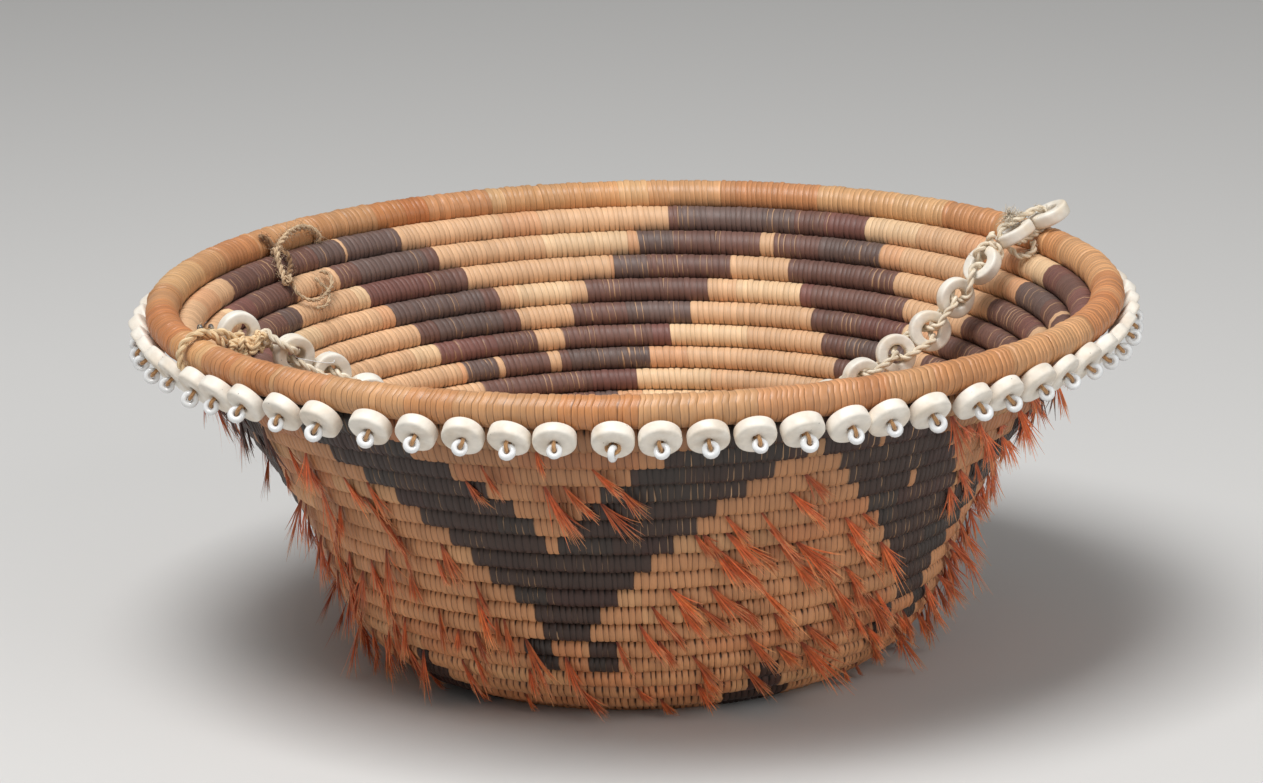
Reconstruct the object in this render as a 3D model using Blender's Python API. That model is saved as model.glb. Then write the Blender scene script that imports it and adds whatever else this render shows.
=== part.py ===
"""A coiled bowl basket with shell discs and glass beads sewn under its rim, and a carrying string of
shell discs tied across it.

Everything is in metres, +Z up. The basket stands on z = 0 and its middle is on the Z axis. Azimuth 0 is
the front (-Y), and positive azimuths turn towards +X. The wall is a stack of coils, each one turn of the
wrapped foundation, numbered from the rim (1) down to the foot, and the base goes on from there inwards.
"""

import math

import bmesh
import bpy
from mathutils import Matrix, Vector

UP = Vector((0.0, 0.0, 1.0))

# Rim and wall
RIM_RADIUS = 0.110              # outside of the rim coil
RIM_COIL_RADIUS = 0.0036
WALL_TURNS = 18                 # coils under the rim, the foot among them
COIL_RADII = (0.00325, 0.00275, 0.0024, 0.0020, 0.0029)    # under the rim to the foot, in equal steps
WALL_LEAN = (43.0, 38.5, 31.0, 26.0, 16.0, 33.0, 66.0)     # degrees from upright, rim to foot
COIL_GAP = 0.0003               # between neighbouring coils
COIL_SEGMENTS = 26              # round one turn of the wall
COIL_FLAT = 0.55                # half width of a coil's flats, as a share of its radius
COIL_BULGE = 1.06               # how far a coil stands out between its flats, as a share of its radius

# Base
BASE_COIL_RADIUS = 0.0024
BASE_SEGMENT_LENGTH = 0.013
LEAST_SEGMENTS = 12
START_KNOT_LEAST = 0.0060       # smallest radius of the knot; base turns are added while it leaves this
START_KNOT_CROWN = 0.0007       # how far the knot's middle stands above its edge
START_KNOT_OUTLINE = (0.72, 0.78, 0.35)     # underside, top and crown, as shares of the knot's radius

# Ring of discs and glass beads under the rim
RING_FRONT = (                  # azimuths of the front discs: uneven steps, and a wide gap in the middle
    -65.2, -59.0, -54.2, -48.7, -42.6, -37.0, -30.3, -24.6, -19.1, -13.9, -9.0,
    -2.7, 2.3, 7.5, 12.6, 17.9, 23.3, 28.1, 33.5, 39.7, 44.7, 50.4,
)
RING_BACK_COUNT = 45            # discs spread over what is left
RING_DISC_RADIUS = 0.0046
RING_DISC_THICKNESS = 0.0032
RING_DISC_DROOP = 38.0          # degrees that the discs' faces look down
RING_DISC_SIDES = 7
RING_DISC_CLEARANCE = 0.0007    # from the disc's back to the rim coil
RING_DISC_DROP = 0.0049         # height of the rim coil's middle above the discs' middles
GLASS_BEAD_RADIUS = 0.0017
GLASS_BEAD_HOLE_RADIUS = 0.0006
SEWING_THREAD_RADIUS = 0.0005
SEWING_THREAD_SINK = 0.0002     # from the disc's back to the thread's middle, inside the disc

# Carrying string
CORD_RADIUS = 0.0008
STRING_DISC_RADIUS = 0.0048
STRING_DISC_THICKNESS = 0.0031
STRING_DISC_HOLE_RADIUS = 0.0022
STRING_DISC_SIDES = 8
STRING_DISC_STEP = 0.0101       # from disc to disc, about; the discs share out what there is
FIRST_DISC_AT = 0.0085          # along the string, from the left end of its swing line
LAST_DISC_AT = 0.0067           # back from the right end
LAST_DISC_ROLL = 80.0           # degrees that the last disc is turned about the string
CORD_CLEARANCE = 0.0005         # between the cord and the face of a disc that it passes over
TIE_GAP = 0.0004                # between the swinging string and the ties that hold it
CORD_LEAD = 0.0012              # straight end of the cord, on the line that it swings about

# The string hangs in an upright plane, from a point inside the rim at the left to the middle of the rim coil
# at the right. Its route is given from each end: the distance from that end, and the height above the middle
# of the rim coil. It swings about the straight line from the route's first point to its last.
STRING_LEFT_AZIMUTH = -63.0
STRING_RIGHT_AZIMUTH = 114.0
STRING_LEFT_INSET = 0.0037      # from the middle of the rim coil inwards to the plane's left end
ROUTE_FROM_LEFT = (
    (0.0114, 0.0018), (0.0185, -0.0030), (0.0262, -0.0080), (0.0450, -0.0195), (0.0700, -0.0295),
    (0.1000, -0.0355),
)
ROUTE_FROM_RIGHT = (
    (0.0840, -0.0355), (0.0610, -0.0310), (0.0401, -0.0214), (0.0308, -0.0165), (0.0240, -0.0092),
    (0.0178, -0.0033), (0.0145, 0.0026),
)

# Ties, the discs that lie still at them, and the twine loop at the back
TIE_CORD_RADIUS = 0.0009
LEFT_TIE_AZIMUTH = -62.0
LEFT_TIE_CLEARANCE = 0.0007     # from the loop to the rim coil
LEFT_TIE_BENDS = (-30.0, 5.0, 45.0, 90.0, 130.0, 160.0)    # angles round the rim coil, outside to inside
KNOT_START = (0.0046, 0.0015)   # along the string's plane, and height above the middle of the rim coil
KNOT_RADIUS = 0.0019
KNOT_SIDES = 8
KNOT_OUTLINE = (                # shares of the knot's length and radius
    (0.17, 0.95), (0.34, 0.75), (0.50, 1.0), (0.66, 0.75), (0.82, 0.85),
)
LEFT_DISC_AT = (0.0074, 0.0026)
RIM_DISC_TILT = 24.8            # degrees that the discs on the rim lean inwards
RIM_DISC_CLEARANCE = 0.0004
RIM_DISC_SHIFT = 0.0032         # how far the outer one lies past the top of the rim coil
TWINE_RADIUS = 0.0006
TWINE_AZIMUTH = -128.0

# The twine's route: turn from its azimuth, angle round the rim coil, and distance off it in twine radii; then
# turn, turns of the wall down from the rim, and distance off the wall in twine radii.
TWINE_ON_RIM = (
    (-4.5, 160.0, 1.2), (-3.0, 135.0, 2.7), (0.0, 118.0, 3.7), (2.8, 135.0, 2.0), (4.0, 158.0, 1.3),
)
TWINE_ON_WALL = (
    (4.5, 1.0, 1.3), (4.2, 1.7, 1.3), (2.6, 2.4, 2.0), (0.0, 2.6, 3.0), (-2.0, 2.2, 3.7), (-1.6, 1.7, 4.0),
)


class Coil:
    """One turn of the coil, by its section: distance out, height, radius, and lean from the turn above."""

    def __init__(self, out, height, radius, lean):
        self.out = out
        self.height = height
        self.radius = radius
        self.lean = lean


def clear_scene():
    for item in list(bpy.data.objects):
        bpy.data.objects.remove(item, do_unlink=True)


def material(name, colour, roughness):
    """A plain Principled material."""
    made = bpy.data.materials.new(name)
    made.use_nodes = True
    shader = made.node_tree.nodes["Principled BSDF"]
    shader.inputs["Base Color"].default_value = (*colour, 1.0)
    shader.inputs["Roughness"].default_value = roughness
    shader.inputs["Metallic"].default_value = 0.0
    return made


def hang_on(item, parent):
    """Parent an object without moving it."""
    if parent is not None:
        item.parent = parent
        item.matrix_parent_inverse = Matrix.Translation(-parent.location)


def add_object(name, mesh, finish, parent=None):
    """Link a mesh as a named, smooth-shaded object."""
    made = bpy.data.objects.new(name, mesh)
    bpy.context.scene.collection.objects.link(made)
    mesh.materials.append(finish)
    mesh.shade_smooth()
    mesh.set_sharp_from_angle(angle=math.radians(35.0))
    hang_on(made, parent)
    return made


def mesh_from(bm, name):
    """Turn a bmesh into a mesh with its faces pointing out."""
    bmesh.ops.recalc_face_normals(bm, faces=bm.faces)
    mesh = bpy.data.meshes.new(name)
    bm.to_mesh(mesh)
    bm.free()
    return mesh


def steps_between(values, share):
    """Read evenly spaced values at a share from 0 (the first) to 1 (the last)."""
    place = share * (len(values) - 1)
    low = min(int(place), len(values) - 2)
    return values[low] + (values[low + 1] - values[low]) * (place - low)


def around(azimuth, out, height):
    """The point at an azimuth in degrees, a distance from the middle and a height."""
    turn = math.radians(azimuth)
    return Vector((out * math.sin(turn), -out * math.cos(turn), height))


def wall_coils():
    """The rim coil and the wall's turns, from the rim down, standing on z = 0."""
    coils = [Coil(RIM_RADIUS - RIM_COIL_RADIUS, 0.0, RIM_COIL_RADIUS, math.radians(WALL_LEAN[0]))]
    for turn in range(WALL_TURNS):
        above = coils[-1]
        share = turn / (WALL_TURNS - 1)
        radius = steps_between(COIL_RADII, share)
        lean = math.radians(steps_between(WALL_LEAN, share))
        step = above.radius + radius + COIL_GAP
        out = above.out - step * math.sin(lean)
        height = above.height - step * math.cos(lean)
        coils.append(Coil(out, height, radius, lean))
    foot = coils[-1]
    lift = foot.radius * math.cos(math.pi / 8.0) - foot.height
    for coil in coils:
        coil.height += lift
    return coils


def base_segments(out):
    """An even number of segments that suits a base turn of this radius."""
    return max(LEAST_SEGMENTS, 2 * round(math.pi * out / BASE_SEGMENT_LENGTH))


def base_coils(foot):
    """The base's turns, inwards from the foot coil, all lying on z = 0, and the radius left inside them.

    A ring's facets cut in between its corners. Where the next ring has as many, they line up and it fits
    corner to corner, and otherwise it fits inside the facets.
    """
    coils = []
    corners = foot.out - foot.radius
    facets = corners
    sides = COIL_SEGMENTS
    while True:
        out = facets - COIL_GAP - BASE_COIL_RADIUS
        if base_segments(out) == sides:
            out = corners - COIL_GAP - BASE_COIL_RADIUS
        sides = base_segments(out)
        corners = out - BASE_COIL_RADIUS
        if corners * math.cos(math.pi / sides) < START_KNOT_LEAST:
            return coils, facets
        facets = corners * math.cos(math.pi / sides)
        coils.append(Coil(out, BASE_COIL_RADIUS, BASE_COIL_RADIUS, math.radians(90.0)))


def turned_ring(section, segments, even_out=False):
    """A closed ring: a section of (distance out, height) pairs, carried once round the Z axis.

    With even_out its facets stand out as far as they cut in, so that the ring keeps its mean radius.
    """
    spread = 2.0 / (1.0 + math.cos(math.pi / segments)) if even_out else 1.0
    bm = bmesh.new()
    rings = []
    for step in range(segments):
        azimuth = 360.0 * step / segments
        rings.append([bm.verts.new(around(azimuth, out * spread, height)) for out, height in section])
    for here, following in zip(rings, rings[1:] + rings[:1]):
        for side in range(len(section)):
            onwards = (side + 1) % len(section)
            bm.faces.new((here[side], following[side], following[onwards], here[onwards]))
    return mesh_from(bm, "ring")


def turned_solid(bm, profile, sides, place):
    """Add a closed turned solid to a bmesh: (radius, height) pairs round a local Z axis, then placed.

    Its ends are flat, or a point where the radius is 0.
    """
    rings = []
    for radius, height in profile:
        ring = []
        for step in range(sides if radius > 0.0 else 1):
            turn = 2.0 * math.pi * (step + 0.5) / sides
            corner = Vector((radius * math.cos(turn), radius * math.sin(turn), height))
            ring.append(bm.verts.new(place @ corner))
        rings.append(ring)
    for low, high in zip(rings, rings[1:]):
        for step in range(sides):
            onwards = (step + 1) % sides
            if len(high) == 1:
                bm.faces.new((low[step], low[onwards], high[0]))
            else:
                bm.faces.new((low[step], low[onwards], high[onwards], high[step]))
    bm.faces.new(list(reversed(rings[0])))
    if len(rings[-1]) > 1:
        bm.faces.new(rings[-1])


def placing(middle, face_way, up_way):
    """A matrix that puts a local origin at middle, with Z along face_way and Y towards up_way."""
    z_way = face_way.normalized()
    x_way = up_way.cross(z_way).normalized()
    y_way = z_way.cross(x_way)
    return Matrix.Translation(middle) @ Matrix((x_way, y_way, z_way)).transposed().to_4x4()


def wall_section(coil, below):
    """A six-sided coil section with flats square to the coils above and below it."""
    corners = []
    middle_lean = (coil.lean + below.lean) / 2.0
    for out_part, up_part, lean in (
        (COIL_BULGE, 0.0, middle_lean), (COIL_FLAT, 1.0, coil.lean), (-COIL_FLAT, 1.0, coil.lean),
        (-COIL_BULGE, 0.0, middle_lean), (-COIL_FLAT, -1.0, below.lean), (COIL_FLAT, -1.0, below.lean),
    ):
        out = coil.out + coil.radius * (out_part * math.cos(lean) + up_part * math.sin(lean))
        height = coil.height + coil.radius * (up_part * math.cos(lean) - out_part * math.sin(lean))
        corners.append((out, height))
    return corners


def base_section(coil):
    """A six-sided section with a flat underside on the ground and a flat top."""
    flat = COIL_FLAT
    corners = ((1.0, 0.0), (flat, 1.0), (-flat, 1.0), (-1.0, 0.0), (-flat, -1.0), (flat, -1.0))
    return [(coil.out + coil.radius * a, coil.height + coil.radius * b) for a, b in corners]


def round_section(coil, lean=0.0):
    """An eight-sided section, turned so that a flat looks along the lean."""
    section = []
    for side in range(8):
        turn = math.radians(22.5 + 45.0 * side) - lean
        section.append((coil.out + coil.radius * math.cos(turn), coil.height + coil.radius * math.sin(turn)))
    return section


def build_coils(finish):
    """Every turn of the basket, from the rim to the knot that it was started from."""
    coils = wall_coils()
    ring = turned_ring(round_section(coils[0], coils[0].lean), COIL_SEGMENTS, even_out=True)
    add_object("rim_coil", ring, finish)
    for number in range(1, WALL_TURNS):
        ring = turned_ring(wall_section(coils[number], coils[number + 1]), COIL_SEGMENTS, even_out=True)
        add_object("wall_coil_%02d" % (number + 1), ring, finish)
    foot = coils[WALL_TURNS]
    add_object("foot_coil", turned_ring(round_section(foot), COIL_SEGMENTS, even_out=True), finish)
    turns, inner_edge = base_coils(foot)
    for number, coil in enumerate(turns):
        ring = turned_ring(base_section(coil), base_segments(coil.out))
        add_object("base_coil_%d" % (number + 1), ring, finish)
    build_start_knot(inner_edge - COIL_GAP, finish)
    return coils


def build_start_knot(edge, finish):
    """The tight wrapped start of the base: a low dome with a flat underside."""
    top = 2.0 * BASE_COIL_RADIUS
    under, over, crown = START_KNOT_OUTLINE
    profile = (
        (edge * under, 0.0), (edge, BASE_COIL_RADIUS), (edge * over, top),
        (edge * crown, top + START_KNOT_CROWN),
    )
    bm = bmesh.new()
    turned_solid(bm, profile, LEAST_SEGMENTS, Matrix())
    add_object("start_knot", mesh_from(bm, "start_knot"), finish)


def ring_azimuths():
    """Where the sewn discs hang: the front ones in their own places, the rest at even steps behind."""
    rest = 360.0 + RING_FRONT[0] - RING_FRONT[-1]
    back = [RING_FRONT[-1] + rest * (n + 1) / (RING_BACK_COUNT + 1) for n in range(RING_BACK_COUNT)]
    return list(RING_FRONT) + back


def ring_disc_place(azimuth, rim):
    """Where one sewn disc hangs: its back clears the rim coil and its face looks out and down."""
    droop = math.radians(RING_DISC_DROOP)
    out_way = around(azimuth, 1.0, 0.0)
    off_rim = rim.radius + RING_DISC_CLEARANCE + RING_DISC_THICKNESS / 2.0
    reach = (off_rim - RING_DISC_DROP * math.sin(droop)) / math.cos(droop)
    middle = out_way * (rim.out + reach) + UP * (rim.height - RING_DISC_DROP)
    return placing(middle, out_way * math.cos(droop) - UP * math.sin(droop), UP)


def build_bead_ring(rim, finish):
    """The sewn discs, each with a glass bead in front, joined to the thread that carries them."""
    half = RING_DISC_THICKNESS / 2.0
    profile = (
        (RING_DISC_RADIUS, -half), (RING_DISC_RADIUS, half), (GLASS_BEAD_HOLE_RADIUS, half),
        (GLASS_BEAD_RADIUS, half + GLASS_BEAD_RADIUS), (0.0, half + 2.0 * GLASS_BEAD_RADIUS),
    )
    bm = bmesh.new()
    for azimuth in ring_azimuths():
        turned_solid(bm, profile, RING_DISC_SIDES, ring_disc_place(azimuth, rim))
    guide = bpy.data.objects.new("sewn_discs_guide", mesh_from(bm, "sewn_discs"))
    bpy.context.scene.collection.objects.link(guide)
    guide.hide_render = True
    guide.display_type = "WIRE"

    # The thread runs through the discs, just inside their backs.
    back = ring_disc_place(0.0, rim) @ Vector((0.0, 0.0, SEWING_THREAD_SINK - half))
    section = []
    for side in range(4):
        turn = math.radians(90.0 * side)
        out = -back.y + SEWING_THREAD_RADIUS * math.cos(turn)
        section.append((out, back.z + SEWING_THREAD_RADIUS * math.sin(turn)))
    ring = turned_ring(section, len(ring_azimuths()), even_out=True)
    thread = add_object("shell_disc_ring", ring, finish)
    union = thread.modifiers.new("discs", "BOOLEAN")
    union.operation = "UNION"
    union.solver = "EXACT"
    union.object = guide


def smooth_curve(knots):
    """A fine Catmull-Rom curve through the knots: its points and their distances along it."""
    fine = []
    steps = 24
    for index in range(len(knots) - 1):
        before = knots[max(index - 1, 0)]
        start = knots[index]
        end = knots[index + 1]
        after = knots[min(index + 2, len(knots) - 1)]
        for step in range(steps):
            t = step / steps
            bend = 2.0 * before - 5.0 * start + 4.0 * end - after
            twist = 3.0 * start - before - 3.0 * end + after
            fine.append((2.0 * start + (end - before) * t + bend * t ** 2 + twist * t ** 3) * 0.5)
    fine.append(knots[-1].copy())
    distances = [0.0]
    for here, there in zip(fine, fine[1:]):
        distances.append(distances[-1] + (there - here).length)
    return fine, distances


def point_at(curve, distance):
    """The point at a distance along a smooth curve, and the curve's direction there."""
    fine, distances = curve
    index = 0
    while index < len(fine) - 2 and distances[index + 1] < distance:
        index += 1
    span = distances[index + 1] - distances[index]
    point = fine[index].lerp(fine[index + 1], (distance - distances[index]) / span)
    return point, (fine[index + 1] - fine[index]).normalized()


def add_cord(name, points, radius, finish, parent=None):
    """A round cord through the points, with closed ends."""
    curve = bpy.data.curves.new(name, "CURVE")
    curve.dimensions = "3D"
    curve.bevel_depth = radius
    curve.bevel_resolution = 1
    curve.use_fill_caps = True
    spline = curve.splines.new("POLY")
    spline.points.add(len(points) - 1)
    for slot, point in zip(spline.points, points):
        slot.co = (*point, 1.0)
    curve.materials.append(finish)
    made = bpy.data.objects.new(name, curve)
    bpy.context.scene.collection.objects.link(made)
    hang_on(made, parent)
    return made


def even_points(knots, spacing):
    """Points along a smooth curve through the knots, about a spacing apart."""
    curve = smooth_curve(knots)
    length = curve[1][-1]
    count = max(3, round(length / spacing))
    return [point_at(curve, length * n / count)[0] for n in range(count + 1)]


def add_bored_disc(name, place, finish, parent=None):
    """One shell disc of the string, with the hole that the cord goes through."""
    half = STRING_DISC_THICKNESS / 2.0
    section = (
        (STRING_DISC_RADIUS, half), (STRING_DISC_HOLE_RADIUS, half),
        (STRING_DISC_HOLE_RADIUS, -half), (STRING_DISC_RADIUS, -half),
    )
    mesh = turned_ring(section, STRING_DISC_SIDES)
    mesh.transform(place)
    return add_object(name, mesh, finish, parent)


class StringPlane:
    """The upright plane that the string hangs in. Its heights are above the middle of the rim coil."""

    def __init__(self, rim):
        self.start = around(STRING_LEFT_AZIMUTH, rim.out - STRING_LEFT_INSET, rim.height)
        across = around(STRING_RIGHT_AZIMUTH, rim.out, rim.height) - self.start
        self.length = across.length
        self.along = across.normalized()
        self.sideways = self.along.cross(UP)

    def point(self, distance, height):
        return self.start + self.along * distance + UP * height

    def string_route(self):
        """The points that the string's line goes through, from left to right."""
        left = [self.point(distance, height) for distance, height in ROUTE_FROM_LEFT]
        return left + [self.point(self.length - back, height) for back, height in ROUTE_FROM_RIGHT]


def string_discs(plane, curve):
    """Each disc on the string: its middle, the way that its face looks, and the string's direction."""
    discs = []
    span = curve[1][-1] - LAST_DISC_AT - FIRST_DISC_AT
    steps = round(span / STRING_DISC_STEP)
    for number in range(steps + 1):
        middle, way = point_at(curve, FIRST_DISC_AT + span * number / steps)
        face = plane.sideways.copy()
        if number == steps:
            face.rotate(Matrix.Rotation(math.radians(-LAST_DISC_ROLL), 3, way))
        discs.append((middle, face, way))
    return discs


def cord_points(curve, discs):
    """The cord's weave: through each disc's hole, and over the faces on alternate sides in between."""
    offset = STRING_DISC_THICKNESS / 2.0 + CORD_CLEARANCE + CORD_RADIUS
    sixth = (discs[1][0] - discs[0][0]).length / 6.0
    past_edge = STRING_DISC_RADIUS + CORD_CLEARANCE
    side = 1.0 if len(discs) % 2 else -1.0
    start = curve[0][0]
    end = curve[0][-1]
    lead = (end - start).normalized() * CORD_LEAD
    points = [start, start + lead]
    for back in (past_edge, sixth):
        points.append(discs[0][0] - discs[0][2] * back - discs[0][1] * side * offset)
    for number, (middle, face, way) in enumerate(discs):
        points.append(middle)
        points.append(middle + way * sixth + face * side * offset)
        if number < len(discs) - 1:
            beyond, next_face, next_way = discs[number + 1]
            corner = (face + next_face) / (1.0 + face.dot(next_face))
            points.append((middle + beyond) / 2.0 + corner * side * offset)
            points.append(beyond - next_way * sixth + next_face * side * offset)
        else:
            points.append(middle + way * past_edge + face * side * offset)
        side = -side
    return points + [end - lead, end]


def build_string(plane, cord_finish, shell_finish):
    """The swinging string: its discs and its cord, on an empty at the left end of the swing line."""
    curve = smooth_curve(plane.string_route())
    swing = bpy.data.objects.new("string_swing", None)
    bpy.context.scene.collection.objects.link(swing)
    swing.location = curve[0][0]
    discs = string_discs(plane, curve)
    for number, (middle, face, way) in enumerate(discs):
        add_bored_disc("string_disc_%02d" % (number + 1), placing(middle, face, way), shell_finish, swing)
    add_cord("string_cord", cord_points(curve, discs), CORD_RADIUS, cord_finish, swing)


def build_left_tie(plane, rim, cord_finish, shell_finish):
    """The loop over the rim, the knot beside it, and the disc that lies behind the knot."""
    knot_start = plane.point(*KNOT_START)
    knot_end = plane.string_route()[0] - plane.along * TIE_GAP
    way = (knot_end - knot_start).normalized()
    reach = rim.radius + LEFT_TIE_CLEARANCE + TIE_CORD_RADIUS
    loop = []
    for angle in LEFT_TIE_BENDS:
        turn = math.radians(angle)
        out = rim.out + reach * math.cos(turn)
        loop.append(around(LEFT_TIE_AZIMUTH, out, rim.height + reach * math.sin(turn)))
    loop.append(knot_start - way * 3.0 * TIE_CORD_RADIUS)
    loop.append(knot_start - way * TIE_GAP)
    add_cord("left_tie_loop", even_points(loop, 2.5 * TIE_CORD_RADIUS), TIE_CORD_RADIUS, cord_finish)

    length = (knot_end - knot_start).length
    profile = [(TIE_CORD_RADIUS, 0.0)]
    profile += [(KNOT_RADIUS * thick, length * share) for share, thick in KNOT_OUTLINE]
    profile.append((CORD_RADIUS, length))
    bm = bmesh.new()
    turned_solid(bm, profile, KNOT_SIDES, placing(knot_start, way, UP))
    add_object("left_knot", mesh_from(bm, "left_knot"), cord_finish)

    set_back = KNOT_RADIUS + TIE_GAP + STRING_DISC_THICKNESS / 2.0
    middle = plane.point(*LEFT_DISC_AT) - plane.sideways * set_back
    add_bored_disc("left_tie_disc", placing(middle, plane.sideways, UP), shell_finish)


def build_right_tie(plane, rim, cord_finish, shell_finish):
    """The two discs that lie on the rim, and the cord that runs over them and into the outer one."""
    tilt = math.radians(RIM_DISC_TILT)
    face = UP * math.cos(tilt) - plane.along * math.sin(tilt)
    slope = plane.along * math.cos(tilt) + UP * math.sin(tilt)
    half = STRING_DISC_THICKNESS / 2.0
    rim_middle = plane.point(plane.length, 0.0)
    rest = rim_middle + face * (rim.radius + RIM_DISC_CLEARANCE + half)
    outer = rest + slope * RIM_DISC_SHIFT
    inner = outer - slope * (2.0 * STRING_DISC_RADIUS + TIE_GAP)
    add_bored_disc("rim_disc_outer", placing(outer, face, slope), shell_finish)
    add_bored_disc("rim_disc_inner", placing(inner, face, slope), shell_finish)

    over = face * (half + CORD_CLEARANCE + CORD_RADIUS)
    start = plane.string_route()[-1] + plane.along * TIE_GAP
    onto_disc = inner - slope * STRING_DISC_RADIUS * 0.55 + over
    into_hole = outer - slope * STRING_DISC_HOLE_RADIUS * 0.8 + over * 0.9
    route = [
        start, start + plane.along * CORD_LEAD / 2.0, onto_disc, inner + over, (inner + outer) / 2.0 + over,
        into_hole, outer,
    ]
    add_cord("right_tie_cord", even_points(route, 1.5 * CORD_RADIUS), CORD_RADIUS, cord_finish)


def build_twine_loop(coils, finish):
    """A loop of old twine over the rim at the back left, with its tail curled on the wall inside."""
    rim = coils[0]

    def on_rim(azimuth, angle, off):
        turn = math.radians(angle)
        reach = rim.radius + TWINE_RADIUS * (1.0 + off)
        return around(azimuth, rim.out + reach * math.cos(turn), rim.height + reach * math.sin(turn))

    def on_wall(azimuth, turns_down, off):
        above = coils[int(turns_down)]
        below = coils[int(turns_down) + 1]
        part = turns_down - int(turns_down)
        out = above.out + (below.out - above.out) * part
        height = above.height + (below.height - above.height) * part
        reach = above.radius * COIL_BULGE + TWINE_RADIUS * (1.0 + off)
        return around(azimuth, out - reach * math.cos(below.lean), height + reach * math.sin(below.lean))

    route = [on_rim(TWINE_AZIMUTH + turn, angle, off) for turn, angle, off in TWINE_ON_RIM]
    route += [on_wall(TWINE_AZIMUTH + turn, down, off) for turn, down, off in TWINE_ON_WALL]
    add_cord("twine_loop", even_points(route, 4.5 * TWINE_RADIUS), TWINE_RADIUS, finish)


def main():
    clear_scene()
    stitches = material("sedge_stitches", (0.54, 0.33, 0.17), 0.6)
    shell = material("clam_shell", (0.78, 0.74, 0.68), 0.45)
    cord = material("cotton_cord", (0.50, 0.38, 0.22), 0.9)
    twine = material("old_twine", (0.36, 0.26, 0.15), 0.9)

    coils = build_coils(stitches)
    rim = coils[0]
    plane = StringPlane(rim)
    build_bead_ring(rim, shell)
    build_string(plane, cord, shell)
    build_left_tie(plane, rim, cord, shell)
    build_right_tie(plane, rim, cord, shell)
    build_twine_loop(coils, twine)


main()
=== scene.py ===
"""The looks of a coiled bowl basket: its stitched coils, shell discs, glass beads, feathers, cords and twine.

Lengths are in metres and +Z is up. Azimuth 0 is the front (-Y), and positive azimuths turn towards +X. Every
surface is worked out with numpy as a grid of points, from two parameters, and stays where the CAD puts it.
"""
import math
from dataclasses import dataclass

import bmesh
import bpy
import numpy as np
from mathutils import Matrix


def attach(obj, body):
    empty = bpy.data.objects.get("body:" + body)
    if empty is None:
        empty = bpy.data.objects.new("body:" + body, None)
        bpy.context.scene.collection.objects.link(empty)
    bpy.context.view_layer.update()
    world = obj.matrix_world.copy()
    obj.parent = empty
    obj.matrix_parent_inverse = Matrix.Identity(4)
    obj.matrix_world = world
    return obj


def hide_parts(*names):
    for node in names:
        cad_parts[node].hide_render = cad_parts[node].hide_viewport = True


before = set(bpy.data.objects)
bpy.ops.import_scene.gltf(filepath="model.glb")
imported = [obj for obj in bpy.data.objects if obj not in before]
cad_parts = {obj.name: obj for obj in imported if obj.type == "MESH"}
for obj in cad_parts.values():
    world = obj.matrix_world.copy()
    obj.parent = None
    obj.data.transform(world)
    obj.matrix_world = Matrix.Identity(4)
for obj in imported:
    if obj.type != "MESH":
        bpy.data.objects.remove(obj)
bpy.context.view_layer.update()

UP = np.array((0.0, 0.0, 1.0))

# Coils, as in the CAD
RIM_RADIUS = 0.110
RIM_COIL_RADIUS = 0.0036
WALL_TURNS = 18
COIL_RADII = (0.00325, 0.00275, 0.0024, 0.0020, 0.0029)
WALL_LEAN = (43.0, 38.5, 31.0, 26.0, 16.0, 33.0, 66.0)
COIL_GAP = 0.0003
COIL_BULGE = 1.06
COIL_SEGMENTS = 26
BASE_COIL_RADIUS = 0.0024
BASE_SEGMENT_LENGTH = 0.013
LEAST_SEGMENTS = 12
FOOT_SIDES = 8                  # of the foot coil's section in the CAD, which stands on one of them
START_KNOT_LEAST = 0.0060
START_KNOT_CROWN = 0.0007
KNOT_COURSE = 30                # the start knot's number among the courses, past all that have a pattern

# Stitches
STITCH_WIDTH = 0.00142
WIDTH_SPREAD = 0.17             # how uneven the stitches' widths are, as a share
PROUD_SPREAD = 0.00005          # how unevenly they stand out
RIM_PROUD = 1.8                 # how many times more unevenly on the rim
SLANT_SPREAD = 0.035
STITCH_MARKS = np.array((0.0, 0.13, 0.37, 0.63, 0.87))      # grid lines across one stitch, as shares of it
STITCH_RELIEF = np.array((-1.0, -0.22, 0.0, 0.0, -0.22))    # how deep each lies, as a share of the groove
FACE_ANGLES = (-85.0, -66.0, -42.0, -14.0, 14.0, 42.0, 66.0, 85.0)     # grid lines round one face of a coil
RIM_ANGLES = (-76.5, -58.5, -40.5, -22.5, -7.5, 7.5, 22.5, 40.5, 58.5, 76.5)
GROOVE_DEPTH = 0.00017
END_DEPTH = 0.00040             # how much deeper the groove is between the ends of the stitches
INSIDE_END_DEPTH = 0.00014
RIM_GROOVE_DEPTH = 0.00018
STITCH_LAP = 0.00012            # how far a stitch's outer, lower end stands over the coil below
OUTSIDE_SLANT = -0.04           # how far the stitches lean, as sideways over up
INSIDE_SLANT = 0.12
JOIN = (0.93, 0.996)            # the sine round a section where it nears the next coil, and where it meets it
FOOT_LEAN = 78.0
OUTLINE_BY_COURSE = ((2.0, 9.0, 14.0), (3.2, 2.9, 2.4))                 # exponent of the outer face's outline
STEP_BY_COURSE = ((2.0, 9.0, 14.0, 17.0), (0.31, 0.28, 0.15, 0.0))      # how far the outer face is sheared
# Painted shade: the outer face is drawn darker towards the rim, under the ring of discs and the rim's
# overhang, and a little lighter at the bottom.
SHADE_BY_COURSE = ((2.0, 4.0, 9.0, 16.0), (0.55, 0.72, 0.93, 1.10))     # how light the outer face is

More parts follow.
